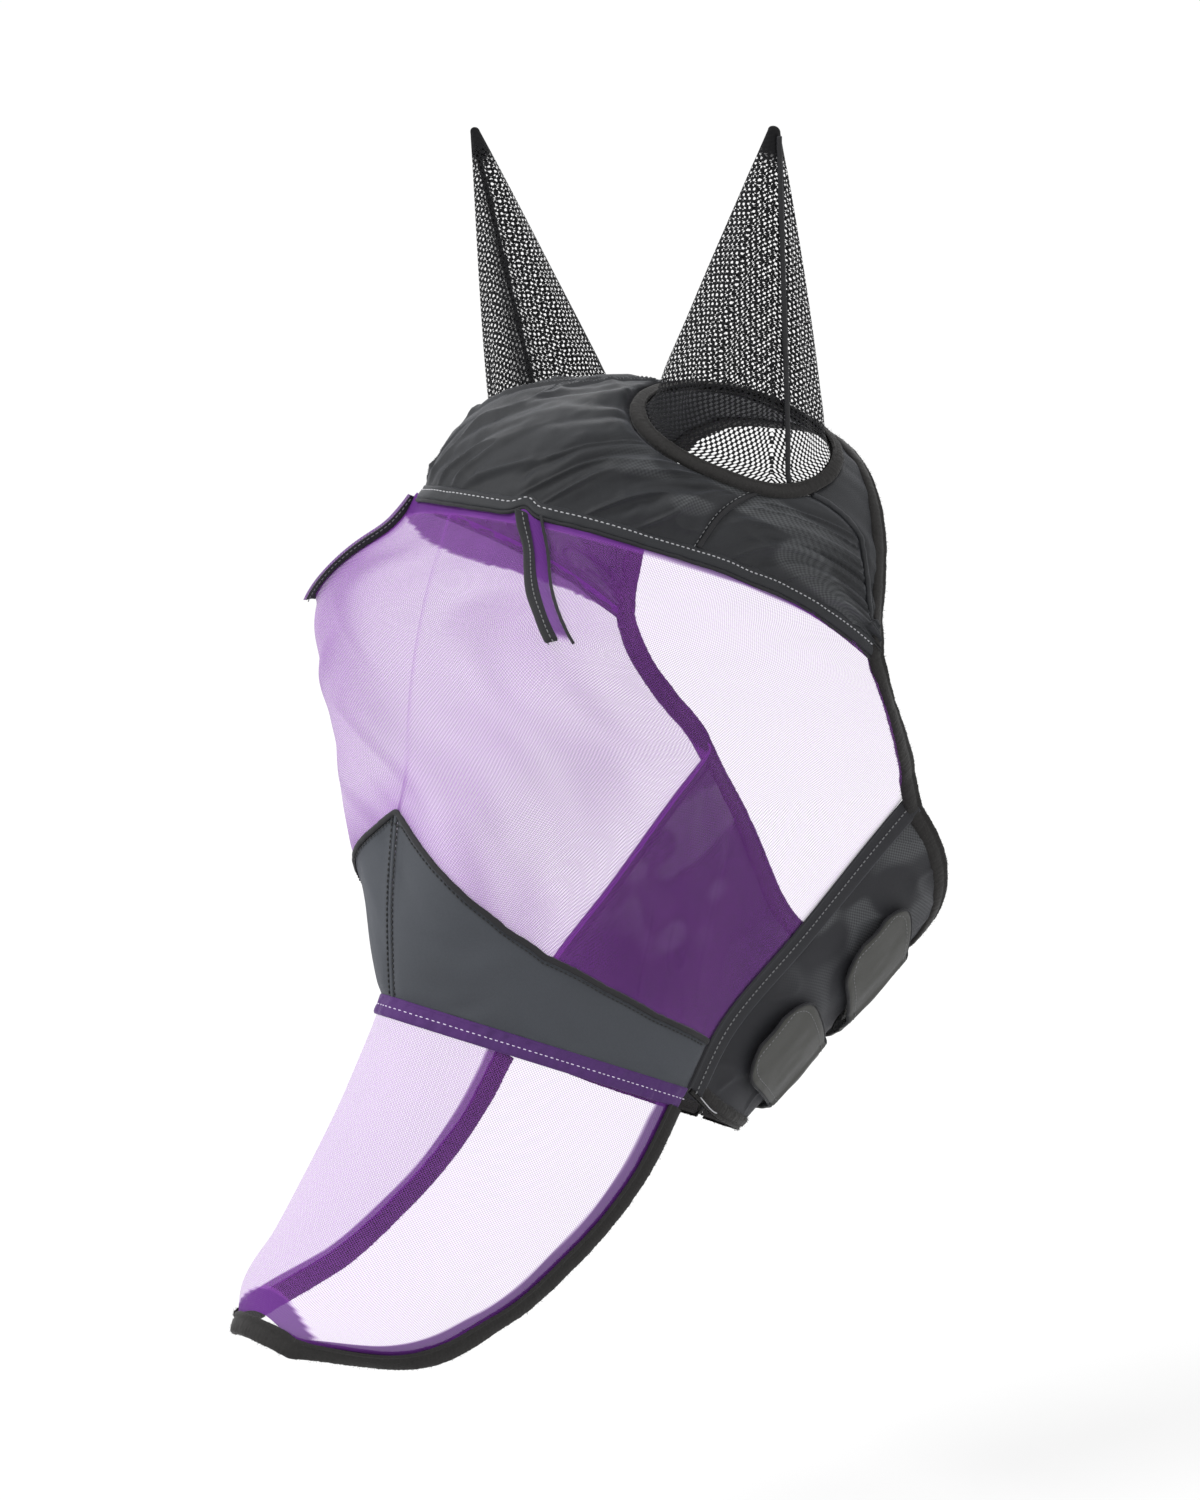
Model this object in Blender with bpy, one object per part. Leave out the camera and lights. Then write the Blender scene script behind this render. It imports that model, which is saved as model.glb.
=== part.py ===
"""Horse fly mask with ear covers and a nose cover, as worn: +Z up, the face looks along -Y,
the horse's left side is +X. Lengths below are in millimetres and the solids are in metres."""

import math

import bpy
import numpy as np

MM = 0.001

# Cross-sections, from the brow seam down to the noseband's lower edge. Each is an arch in a plane
# through the X direction: share of the way down, middle (y, z), free edge (x, y, z), half width,
# squareness, where the half width starts to shrink, and how far the sides bow backwards.
FACE = [
    (0.00, -133, -57, 112, 92, -157, 114, 2.6, 0.6, 30),
    (0.10, -142, -81, 112, 97, -168, 116, 3.6, 0.6, 22),
    (0.25, -155, -117, 109, 106, -186, 131, 9.0, 0.6, 8),
    (0.45, -166, -164, 102, 124, -213, 126, 7.5, 0.6, 0),
    (0.60, -172, -212, 92, 140, -236, 113, 5.3, 0.6, 0),
    (0.66, -176, -232, 88, 143, -246, 105, 4.6, 0.6, 0),
    (0.71, -178, -248, 87, 117, -267, 100, 3.9, 0.6, 0),
    (0.82, -181, -284, 83, 56, -320, 92, 2.7, 0.7, 0),
    (0.92, -181, -316, 79, 0, -367, 85, 2.1, 0.8, 0),
    (1.00, -180, -341, 77, -25, -406, 81, 1.75, 0.8, 0),
]
# The nose cover, from the noseband's lower edge to its tip.
NOSE = [
    (0.00, -180, -341, 77, -25, -406, 81, 1.75, 0.8, 0),
    (0.25, -209, -390, 78, -60, -453, 81, 1.7, 0.8, 0),
    (0.50, -233, -428, 77, -108, -491, 80, 1.7, 0.8, 0),
    (0.70, -252, -462, 74, -160, -518, 77, 1.75, 0.8, 0),
    (0.87, -268, -492, 66, -220, -531, 67, 1.9, 0.8, 0),
    (1.00, -281, -516, 24, -274, -522, 25, 2.0, 0.8, 0),
]
# The crown, from the brow seam over the ears to the rear edge behind the poll.
CROWN = [
    (0.00, -133, -57, 112, 92, -157, 114, 2.6, 0.6, 30),
    (0.25, -97, -18, 112, 93, -157, 117, 2.5, 0.5, 16),
    (0.50, -32, 0, 112, 94, -157, 117, 2.55, 0.5, 2),
    (0.75, 50, -4, 111, 94, -156, 113, 2.8, 0.5, 0),
    (1.00, 114, -31, 108, 92, -155, 109, 2.9, 0.5, 0),
]
# The jaw band, from its rear edge to its front edge: the arches open upwards.
JAW = [
    (0.00, 176, -360, 88, 143, -246, 92, 2.6, 0.7, 17),
    (0.15, 156, -376, 87, 117, -267, 90, 2.6, 0.7, 12),
    (0.47, 114, -408, 83, 56, -320, 84, 2.6, 0.7, 3),
    (0.76, 80, -433, 79, 0, -367, 80, 2.6, 0.7, -2),
    (1.00, 51, -451, 77, -25, -406, 78, 2.6, 0.8, -10),
]

MESH_THICK = 1.0
CLOTH_THICK = 2.0
BAND_THICK = 2.4
SEAM_GAP = 1.2
BINDING_HALF = 6.5
BINDING_THICK = 2.6
BINDING_ROOM = 2 * BINDING_HALF + SEAM_GAP
BROW_HALF = 5.5
BROW_ROOM = BROW_HALF + SEAM_GAP

NOSEBAND_TOP = [(0.0, 0.66), (0.05, 0.70), (0.115, 0.745), (0.18, 0.79), (0.27, 0.835),
                (0.38, 0.87), (0.57, 0.902), (0.75, 0.925), (1.0, 0.945)]
DART_START, DART_END, DART_DEPTH = 0.165, 0.29, 0.28
DART_TALL, DART_THICK = 8.5, 3.0
HEM_WIDE = 10.5

EAR_V = {1: 0.62, -1: 0.535}
EAR_T = {1: 0.335, -1: 0.415}
EAR_HALF_V, EAR_HALF_T = 0.265, 0.195
EAR_CONE_SHARE = 0.76
EAR_SHRINK = 0.07
EAR_TIPS = {"left": (121, -3, 145), "right": (-127, -18, 143)}
OPENING_ROOM = 1.210
POLL_SEAM = 0.60
SIDE_SEAM = 0.50
REAR_STRIP = 15.0

TABS = {"front": (0.545, 0.843, 0.80), "rear": (0.175, 0.433, 0.74)}
TAB_FOLD = 0.375
TAB_ROOT = -0.12
TAB_LIFT = 6.2
TAB_THICK = 2.0


def smooth(keys, rows, at):
    """Values on a smooth curve through the rows, one row per key."""
    k, r = np.asarray(keys, float), np.asarray(rows, float)
    slope = np.gradient(r, k, axis=0)
    a = np.clip(np.atleast_1d(np.asarray(at, float)), k[0], k[-1])
    i = np.clip(np.searchsorted(k, a, side="right") - 1, 0, len(k) - 2)
    h = (k[i + 1] - k[i])[:, None]
    t = (a - k[i])[:, None] / h
    return (
        (2 * t**3 - 3 * t**2 + 1) * r[i]
        + (t**3 - 2 * t**2 + t) * h * slope[i]
        + (3 * t**2 - 2 * t**3) * r[i + 1]
        + (t**3 - t**2) * h * slope[i + 1]
    )


def arch(middle, end, wide, power, bulge, bow, count):
    """Half an arch from its middle to its free edge, as evenly spaced points, and its length."""
    a = np.linspace(0, math.pi / 2, count)
    q = np.sort(np.r_[1 - np.cos(a) ** (2 / power), np.linspace(0, 1, count)[1:-1]])
    x = wide * np.maximum(1 - (1 - q) ** power, 0) ** (1 / power)
    x = x - (wide - end[0]) * np.clip((q - bulge) / (1 - bulge), 0, 1) ** 2
    y = middle[0] + (end[1] - middle[0]) * q + bow * np.sin(math.pi * q)
    z = middle[1] + (end[2] - middle[1]) * q
    p = np.stack([x, y, z], -1)
    along = np.r_[0, np.cumsum(np.linalg.norm(np.diff(p, axis=0), axis=1))]
    even = np.linspace(0, along[-1], count)
    return np.stack([np.interp(even, along, p[:, c]) for c in range(3)], -1), along[-1]


class Skin:
    """A surface made of arches: v runs along it, t round it from the middle (0) to an edge (1)."""

    def __init__(self, stations, rows=101, columns=181):
        values = np.array(stations, float)
        at = np.linspace(0, 1, rows)
        self.rows, self.columns = rows, columns
        self.grid = np.empty((rows, columns, 3))
        self.round = np.empty(rows)
        for i, r in enumerate(smooth(values[:, 0], values[:, 1:], at)):
            self.grid[i], self.round[i] = arch(r[0:2], r[2:5], *r[5:9], columns)
        steps = np.linalg.norm(np.diff(self.grid, axis=0), axis=2)
        self.down = np.concatenate([np.zeros((1, columns)), np.cumsum(steps, axis=0)])

    def at(self, v, t):
        """Points at v and t. A negative t is on the right side."""
        v, t = np.broadcast_arrays(np.asarray(v, float), np.asarray(t, float))
        side, t = np.where(t < 0, -1.0, 1.0), np.abs(t)
        fv = np.clip(v, 0, 1) * (self.rows - 1)
        ft = np.clip(t, 0, 1) * (self.columns - 1)
        i = np.clip(fv.astype(int), 0, self.rows - 2)
        j = np.clip(ft.astype(int), 0, self.columns - 2)
        a, b, g = (fv - i)[..., None], (ft - j)[..., None], self.grid
        p = (g[i, j] * (1 - b) + g[i, j + 1] * b) * (1 - a)
        p = p + (g[i + 1, j] * (1 - b) + g[i + 1, j + 1] * b) * a
        p[..., 0] *= side
        return p

    def normal(self, v, t):
        """Directions away from the head at v and t."""
        e = 0.012
        v, t = np.broadcast_arrays(np.asarray(v, float), np.asarray(t, float))
        va, vb = np.clip(v - e, 0, 1), np.clip(v + e, 0, 1)
        ta, tb = np.clip(t - e, -1, 1), np.clip(t + e, -1, 1)
        n = np.cross(self.at(vb, t) - self.at(va, t), self.at(v, tb) - self.at(v, ta))
        n = n / np.maximum(np.linalg.norm(n, axis=-1), 1e-9)[..., None]
        return n * self.facing

    def across(self, v, mm):
        """A distance round the arch at v, as a share of its half length."""
        at = np.linspace(0, 1, self.rows)
        return mm / np.interp(v, at, self.round)

    def slide(self, v, t, mm):
        """The v reached from v after a distance along the surface at t."""
        v, t, mm = np.broadcast_arrays(*(np.asarray(a, float) for a in (v, t, mm)))
        at, out = np.linspace(0, 1, self.rows), np.empty(v.shape)
        for i in np.ndindex(v.shape):
            column = self.down[:, int(round(abs(t[i]) * (self.columns - 1)))]
            out[i] = np.interp(np.interp(v[i], at, column) + mm[i], column, at)
        return out


def outward(skin):
    """Sets which way the skin's normals point: away from the middle of the head."""
    skin.facing = 1.0
    probe = skin.at(0.5, 0.5)
    inside = skin.at(0.5, -0.5) * 0.5 + probe * 0.5 + (skin.at(0.5, 1.0) - probe) * 0.3
    inside = inside * np.array([0, 1, 1])
    skin.facing = 1.0 if np.dot(skin.normal(0.5, 0.5), probe - inside) > 0 else -1.0
    return skin


def unit(a):
    return a / np.maximum(np.linalg.norm(a, axis=-1), 1e-9)[..., None]


def material(name, colour, rough):
    m = bpy.data.materials.new(name)
    m.use_nodes = True
    shader = m.node_tree.nodes["Principled BSDF"]
    shader.inputs["Base Color"].default_value = (*colour, 1)
    shader.inputs["Roughness"].default_value = rough
    return m


def solid(name, points, faces, colour, rough=0.9, origin=None):
    """One closed body from points in millimetres, with its faces turned outwards."""
    p = np.asarray(points, float) * MM
    corners = [(f[0], f[i], f[i + 1]) for f in faces for i in range(1, len(f) - 1)]
    a, b, c = (p[[k[i] for k in corners]] for i in range(3))
    if np.einsum("ij,ij->i", a, np.cross(b, c)).sum() < 0:
        faces = [tuple(reversed(f)) for f in faces]
    place = np.zeros(3) if origin is None else np.asarray(origin, float) * MM
    mesh = bpy.data.meshes.new(name)
    mesh.from_pydata([tuple(q) for q in p - place], [], [tuple(map(int, f)) for f in faces])
    mesh.materials.append(material(name + "_material", colour, rough))
    obj = bpy.data.objects.new(name, mesh)
    obj.location = place
    bpy.context.scene.collection.objects.link(obj)
    return obj


def slab(name, points, normals, thick, colour, lift=0.0, wrap=False, origin=None):
    """A sheet of one thickness on a grid of points. wrap joins the grid's last column to its first."""
    na, nb = points.shape[:2]
    top = (points + normals * (lift + thick / 2)).reshape(-1, 3)
    under = (points + normals * (lift - thick / 2)).reshape(-1, 3)
    size = na * nb
    faces = []
    for i in range(na - 1):
        for j in range(nb if wrap else nb - 1):
            k = (j + 1) % nb
            q = (i * nb + j, i * nb + k, (i + 1) * nb + k, (i + 1) * nb + j)
            faces += [q, tuple(size + c for c in reversed(q))]
    rim = [[(i * nb + j, i * nb + (j + 1) % nb) for j in range(nb if wrap else nb - 1)]
           for i in (0, na - 1)]
    if not wrap:
        rim += [[(i * nb + j, (i + 1) * nb + j) for i in range(na - 1)] for j in (0, nb - 1)]
    for turn, edges in zip((False, True, True, False), rim):
        for a, b in edges:
            q = (b, a, size + a, size + b)
            faces.append(tuple(reversed(q)) if turn else q)
    return solid(name, np.concatenate([top, under]), faces, colour, origin=origin)


def panel(name, skin, v_range, t_range, thick, colour, lift=0.0, steps=(12, 24), origin=None,
          margin=0.0):
    """A slab over part of a skin. A limit of v may be a function of t. margin is the width left
    free along the skin's own edges, a number or a function of v."""
    a = np.linspace(0, 1, steps[0] + 1)[:, None]
    b = np.linspace(0, 1, steps[1] + 1)[None, :]
    share = t_range[0] + (t_range[1] - t_range[0]) * b + 0 * a
    t = share
    for _ in range(3 if margin else 1):
        low, high = (f(t) if callable(f) else f for f in v_range)
        v = low + (high - low) * a
        t = share * (1 - skin.across(v, margin(v) if callable(margin) else margin))
    return slab(name, skin.at(v, t), skin.normal(v, t), thick, colour, lift, origin=origin)


def rope(name, path, normals, half, thick, colour, closed=False, origin=None):
    """A soft strip with rounded edges swept along a path, flat to the surface below it."""
    path, normals = np.asarray(path, float), unit(np.asarray(normals, float))
    if closed:
        along = np.roll(path, -1, 0) - np.roll(path, 1, 0)
    else:
        along = np.gradient(path, axis=0)
    side = unit(np.cross(unit(along), normals))
    lift = unit(np.cross(side, unit(along)))
    ring = [(math.cos(w), math.sin(w)) for w in np.linspace(0, 2 * math.pi, 7)[:-1]]
    count, n = len(ring), len(path)
    shape = [(abs(c) ** 0.6 * np.sign(c) * half, abs(s) ** 0.8 * np.sign(s) * thick) for c, s in ring]
    points = np.stack([path + side * c + lift * s for c, s in shape], 1).reshape(-1, 3)
    faces = []
    for i in range(n if closed else n - 1):
        k = (i + 1) % n
        for j in range(count):
            m = (j + 1) % count
            faces.append((i * count + j, i * count + m, k * count + m, k * count + j))
    if not closed:
        faces.append(tuple(range(count - 1, -1, -1)))
        faces.append(tuple((n - 1) * count + j for j in range(count)))
    return solid(name, points, faces, colour, origin=origin)


def noseband_top(t):
    knots = np.array(NOSEBAND_TOP)
    return np.interp(np.abs(t), knots[:, 0], knots[:, 1])


def between(low, high, share):
    return low + (high - low) * share


for old in list(bpy.data.objects):
    bpy.data.objects.remove(old)

PURPLE, INK, FLEECE, GREY, SLATE = (
    (0.30, 0.08, 0.45), (0.018, 0.018, 0.022), (0.025, 0.021, 0.020),
    (0.06, 0.065, 0.08), (0.05, 0.05, 0.047),
)
face, nose, crown, jaw = (outward(Skin(s)) for s in (FACE, NOSE, CROWN, JAW))
SIDES = {"left": 1, "right": -1}



def face_margin(v):
    """Room for the rear binding down to the cheek, then only for a seam."""
    return np.interp(v, (0.62, 0.71), (BINDING_ROOM + 3.0, 2.6))


def nose_margin(v):
    """Room for the edge binding, which crosses the arches at a slant near the tip."""
    return np.interp(v, (0.70, 0.95), (BINDING_ROOM + 3.4, BINDING_ROOM + 14.0))


# Face mesh: one piece from the brow seam to the noseband.
panel(
    "face_mesh", face,
    (lambda t: face.slide(0, t, BROW_ROOM), lambda t: face.slide(noseband_top(t), t, -4.8)),
    (-1, 1), MESH_THICK, PURPLE, steps=(13, 36), margin=face_margin,
)

# Forehead darts: standing folds bound with tape, over the inner corner of each eye.
for side, sign in SIDES.items():
    v = np.linspace(0.035, DART_DEPTH, 9)
    t = sign * between(DART_START, DART_END, v / DART_DEPTH)
    foot, up = face.at(v, t), face.normal(v, t)
    walk = unit(np.gradient(foot, axis=0))
    flat = unit(np.cross(walk, up))
    rise = np.linspace(1.0, DART_TALL, 3)
    grid = foot[:, None] + up[:, None] * rise[None, :, None]
    slab(f"forehead_dart_{side}", grid, np.repeat(flat[:, None], 3, 1), DART_THICK, INK)

# Noseband: two halves with a seam down the middle, and a narrow binding on the upper edge.
for side, sign in SIDES.items():
    ends = (sign * face.across(0.9, SEAM_GAP / 2), sign * (1 - face.across(0.95, SEAM_GAP)))
    panel(
        f"noseband_{side}", face,
        (lambda t: face.slide(noseband_top(t), t, 2.0), lambda t: face.slide(1, t, -0.8)),
        (min(ends), max(ends)), CLOTH_THICK, GREY, steps=(3, 16),
    )
t = np.linspace(-0.97, 0.97, 41)
v = face.slide(noseband_top(t), t, -0.9)
rope("noseband_top_binding", face.at(v, t), face.normal(v, t), 2.0, 1.4, INK)

# Nose cover: folded hem, mesh and the binding round its free edge.
panel(
    "nose_hem", nose,
    (lambda t: nose.slide(0, t, 0.8), lambda t: nose.slide(0, t, HEM_WIDE)),
    (-0.97, 0.97), 2.4, PURPLE, steps=(1, 32),
)
panel(
    "nose_mesh", nose,
    (lambda t: nose.slide(0, t, HEM_WIDE + SEAM_GAP), lambda t: nose.slide(1, t, -BINDING_ROOM - 5)),
    (-1, 1),
    MESH_THICK, PURPLE, steps=(11, 22), margin=nose_margin,
)
v_edge = np.linspace(0.075, 0.97, 18)
t_edge = 1 - nose.across(v_edge, BINDING_HALF)
turn = np.linspace(1, -1, 9)[1:-1]
v_path = np.r_[v_edge, np.full(len(turn), 0.985), v_edge[::-1]]
t_path = np.r_[t_edge, turn * t_edge[-1], -t_edge[::-1]]
rope("nose_edge_binding", nose.at(v_path, t_path), nose.normal(v_path, t_path),
     BINDING_HALF, BINDING_THICK, FLEECE)

# Brow binding, over the seam between the crown and the face mesh.
t = np.linspace(-0.94, 0.94, 39)
rope("brow_binding", face.at(0.0, t), unit(face.normal(0.0, t) + crown.normal(0.0, t)),
     BROW_HALF, 2.2, INK)


def ear_ring(angle, share=1.0, sign=1):
    """A place on the crown round the ear: v and t."""
    return (
        EAR_V[sign] + share * EAR_HALF_V * np.cos(angle),
        sign * (EAR_T[sign] + share * EAR_HALF_T * np.sin(angle)),
    )


def by_side(values, t):
    """The value of the side that t is on."""
    return np.where(np.asarray(t) < 0, values[-1], values[1])


def foot(t):
    """How far round the arch the ear opening reaches, on the side that t is on."""
    return by_side(EAR_T, t) + EAR_HALF_T * OPENING_ROOM


def ring_v(t, way):
    """Where the edge of the ear opening crosses t, ahead of the ear (-1) or behind it (1)."""
    q = np.clip((np.abs(t) - by_side(EAR_T, t)) / (EAR_HALF_T * OPENING_ROOM), -1, 1)
    return by_side(EAR_V, t) + way * EAR_HALF_V * OPENING_ROOM * np.sqrt(1 - q**2)


def front_edge(t):
    opening = ring_v(t, -1)
    return np.minimum(opening, crown.slide(POLL_SEAM, t, -SEAM_GAP / 2))


def rear_seam(t):
    """The seam between the side and poll panels, from the foot of the ear opening to the rear edge."""
    strip = REAR_STRIP * np.clip((0.90 - np.abs(t)) / 0.30, 0, 1)
    low = crown.slide(1, t, -(BINDING_ROOM + SEAM_GAP + strip))
    share = np.clip((np.abs(t) - foot(t)) / 0.14, 0, 1)
    return between(by_side(EAR_V, t), low, share)


def poll_edge(t):
    over = np.maximum(ring_v(t, 1), crown.slide(POLL_SEAM, t, SEAM_GAP / 2))
    return np.where(np.abs(t) < foot(t), over, crown.slide(rear_seam(t), t, SEAM_GAP / 2))


def rear_edge(t):
    return crown.slide(1, t, -BINDING_ROOM)


def side_top(t):
    ahead = np.minimum(ring_v(t, -1), by_side(EAR_V, t))
    return np.where(np.abs(t) < foot(t), ahead, crown.slide(rear_seam(t), t, -SEAM_GAP / 2))


panel("crown_front_panel", crown, (lambda t: crown.slide(0, t, BROW_ROOM + 0.5), front_edge),
      (-SIDE_SEAM, SIDE_SEAM), CLOTH_THICK, INK, steps=(5, 32))
panel("crown_poll_panel", crown, (poll_edge, rear_edge), (-0.84, 0.84), CLOTH_THICK, INK,
      steps=(2, 48))
for side, sign in SIDES.items():
    ends = sorted((sign * (SIDE_SEAM + 0.008), sign * 0.89))
    panel(f"crown_side_panel_{side}", crown,
          (lambda t: crown.slide(0, t, BROW_ROOM + 0.5), side_top), ends, CLOTH_THICK, INK,
          steps=(5, 14))

# Ear covers: a bound opening in the crown, a mesh cone and the piping down its outer seam.
for side, sign in SIDES.items():
    angle = np.linspace(0, 2 * math.pi, 29)[:-1]
    v, t = ear_ring(angle, 1.0, sign)
    rope(f"ear_opening_binding_{side}", crown.at(v, t), crown.normal(v, t), 4.5, 3.0, FLEECE,
         closed=True)
    base = crown.at(*ear_ring(angle, EAR_CONE_SHARE, sign))
    heart = base.mean(0)
    tip = np.array(EAR_TIPS[side], float)
    levels = np.linspace(0, 1, 8)
    rings = np.stack([
        heart + (tip - heart) * k + (base - heart) * (1 - (1 - EAR_SHRINK) * k ** 1.06)
        for k in levels
    ])
    across = unit(np.roll(rings, -1, 1) - np.roll(rings, 1, 1))
    upward = unit(np.gradient(rings, axis=0))
    away = unit(np.cross(across, upward))
    middle = rings.mean(1, keepdims=True)
    away *= np.sign(np.einsum("ijk,ijk->ij", away, rings - middle).mean())
    slab(f"ear_cone_{side}", rings, away, MESH_THICK, INK, wrap=True, origin=heart)
    seam = int(np.argmax(sign * base[:, 0]))
    rope(f"ear_seam_piping_{side}", rings[:, seam] + away[:, seam] * 2.6, away[:, seam],
         1.6, 1.4, INK, origin=heart)

# Rear binding: one strip round the neck opening, from under the jaw, up the left side, over the
# poll and down the right side.
t_jaw = np.linspace(0.03, 0.94, 13)
v_jaw = jaw.slide(0, t_jaw, BINDING_HALF)
v_back = np.linspace(0.60, 0.03, 12)
t_back = 1 - face.across(v_back, BINDING_HALF)
t_crown = np.linspace(0.95, 0, 19)
v_crown = crown.slide(1, t_crown, -BINDING_HALF)
path = np.concatenate([jaw.at(v_jaw, t_jaw), face.at(v_back, t_back), crown.at(v_crown, t_crown)])
tops = np.concatenate([jaw.normal(v_jaw, t_jaw), face.normal(v_back, t_back),
                       crown.normal(v_crown, t_crown)])
flip = np.array([-1, 1, 1])
path = np.concatenate([path, path[-2::-1] * flip])
tops = np.concatenate([tops, tops[-2::-1] * flip])
rope("rear_binding", path, tops, BINDING_HALF, BINDING_THICK, FLEECE)
for side, sign in SIDES.items():
    t = sign * np.linspace(0.97, 0.03, 15)
    v = jaw.slide(1, t, 1.5 - BINDING_HALF)
    rope(f"jaw_front_binding_{side}", jaw.at(v, t), jaw.normal(v, t),
         BINDING_HALF - 1.5, BINDING_THICK, FLEECE)

# Jaw bands, each with a hem tape along its upper edge.
for side, sign in SIDES.items():
    limits = (lambda t: jaw.slide(0, t, BINDING_ROOM + 0.6),
              lambda t: jaw.slide(1, t, 2.4 - BINDING_ROOM))
    ends = sorted((sign * 0.012, sign * 0.915))
    panel(f"jaw_band_{side}", jaw, limits, ends, BAND_THICK, INK, steps=(6, 14))
    ends = sorted((sign * 0.925, sign * 0.985))
    panel(f"jaw_band_hem_{side}", jaw, limits, ends, BAND_THICK, INK, steps=(8, 1))

# Two touch-close tabs: each strap comes from the right band under the jaw and folds up the cheek.
for place, (v_low, v_high, t_tip) in TABS.items():
    fold = jaw.at((v_low + v_high) / 2, TAB_FOLD)
    fold = fold + jaw.normal((v_low + v_high) / 2, TAB_FOLD) * TAB_LIFT
    panel(f"tab_{place}_strap", jaw, (v_low, v_high), (TAB_ROOT, TAB_FOLD - 0.018), TAB_THICK,
          SLATE, lift=TAB_LIFT, steps=(2, 14))
    rise = np.linspace(TAB_FOLD + 0.004, t_tip, 13)
    left = np.clip((t_tip - rise) / (t_tip - TAB_FOLD), 0, 1)
    round_off = np.clip(1 - left / 0.32, 0, 1)
    half = (v_high - v_low) / 2 * np.sqrt(np.maximum(1 - round_off**2 * 0.93, 0))
    share = np.linspace(-1, 1, 5)
    v = (v_low + v_high) / 2 + half[None, :] * share[:, None]
    t = np.broadcast_to(rise[None, :], v.shape)
    slab(f"tab_{place}_flap", jaw.at(v, t), jaw.normal(v, t), TAB_THICK, SLATE, lift=TAB_LIFT,
         origin=fold)
    inset = 0.035
    patch = (v_low + inset, v_high - inset)
    panel(f"tab_{place}_hook_patch", jaw, patch, (TAB_FOLD + 0.03, t_tip - 0.13), 1.2, INK,
          lift=TAB_LIFT - 2.1, steps=(2, 7), origin=fold)
    panel(f"tab_{place}_loop_patch", jaw, patch, (TAB_FOLD + 0.03, t_tip - 0.13), 1.2, SLATE,
          lift=TAB_LIFT - 3.9, steps=(2, 7))
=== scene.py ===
import math

import bpy
import numpy as np
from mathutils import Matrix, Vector


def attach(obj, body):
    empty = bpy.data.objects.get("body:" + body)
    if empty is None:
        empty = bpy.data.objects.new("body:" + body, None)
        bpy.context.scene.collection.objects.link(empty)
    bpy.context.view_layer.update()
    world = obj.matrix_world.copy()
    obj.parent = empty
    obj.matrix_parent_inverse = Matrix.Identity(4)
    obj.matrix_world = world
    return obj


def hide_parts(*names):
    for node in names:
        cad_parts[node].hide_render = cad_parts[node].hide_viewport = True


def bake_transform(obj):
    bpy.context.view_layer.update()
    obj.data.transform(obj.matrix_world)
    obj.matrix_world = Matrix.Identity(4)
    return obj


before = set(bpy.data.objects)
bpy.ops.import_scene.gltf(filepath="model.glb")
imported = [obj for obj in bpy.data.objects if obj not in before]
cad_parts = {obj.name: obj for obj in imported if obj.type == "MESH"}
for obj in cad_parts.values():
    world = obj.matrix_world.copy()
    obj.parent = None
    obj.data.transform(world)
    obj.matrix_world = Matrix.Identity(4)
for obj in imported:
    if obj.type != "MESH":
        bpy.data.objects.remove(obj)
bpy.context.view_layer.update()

MM = 0.001
TURN = 2 * math.pi

# The fitted surfaces of the part: the same stations as its solids, in millimetres. Each row is a
# share of the way down, middle (y, z), free edge (x, y, z), half width, squareness, where the
# half width starts to shrink, and how far the sides bow backwards.
FACE = [
    (0.00, -133, -57, 112, 92, -157, 114, 2.6, 0.6, 30),
    (0.10, -142, -81, 112, 97, -168, 116, 3.6, 0.6, 22),
    (0.25, -155, -117, 109, 106, -186, 131, 9.0, 0.6, 8),
    (0.45, -166, -164, 102, 124, -213, 126, 7.5, 0.6, 0),
    (0.60, -172, -212, 92, 140, -236, 113, 5.3, 0.6, 0),
    (0.66, -176, -232, 88, 143, -246, 105, 4.6, 0.6, 0),
    (0.71, -178, -248, 87, 117, -267, 100, 3.9, 0.6, 0),
    (0.82, -181, -284, 83, 56, -320, 92, 2.7, 0.7, 0),
    (0.92, -181, -316, 79, 0, -367, 85, 2.1, 0.8, 0),
    (1.00, -180, -341, 77, -25, -406, 81, 1.75, 0.8, 0),
]
NOSE = [
    (0.00, -180, -341, 77, -25, -406, 81, 1.75, 0.8, 0),
    (0.25, -209, -390, 78, -60, -453, 81, 1.7, 0.8, 0),
    (0.50, -233, -428, 77, -108, -491, 80, 1.7, 0.8, 0),
    (0.70, -252, -462, 74, -160, -518, 77, 1.75, 0.8, 0),
    (0.87, -268, -492, 66, -220, -531, 67, 1.9, 0.8, 0),
    (1.00, -281, -516, 24, -274, -522, 25, 2.0, 0.8, 0),
]
CROWN = [
    (0.00, -133, -57, 112, 92, -157, 114, 2.6, 0.6, 30),
    (0.25, -97, -18, 112, 93, -157, 117, 2.5, 0.5, 16),
    (0.50, -32, 0, 112, 94, -157, 117, 2.55, 0.5, 2),
    (0.75, 50, -4, 111, 94, -156, 113, 2.8, 0.5, 0),
    (1.00, 114, -31, 108, 92, -155, 109, 2.9, 0.5, 0),
]
JAW = [
    (0.00, 176, -360, 88, 143, -246, 92, 2.6, 0.7, 17),
    (0.15, 156, -376, 87, 117, -267, 90, 2.6, 0.7, 12),
    (0.47, 114, -408, 83, 56, -320, 84, 2.6, 0.7, 3),
    (0.76, 80, -433, 79, 0, -367, 80, 2.6, 0.7, -2),
    (1.00, 51, -451, 77, -25, -406, 78, 2.6, 0.8, -10),
]
# Where the jaw's upper edge meets the face's free edge: jaw share, face share.
JAW_TO_FACE = ((0, 0.15, 0.47, 0.76, 1), (0.66, 0.71, 0.82, 0.92, 1))

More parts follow.
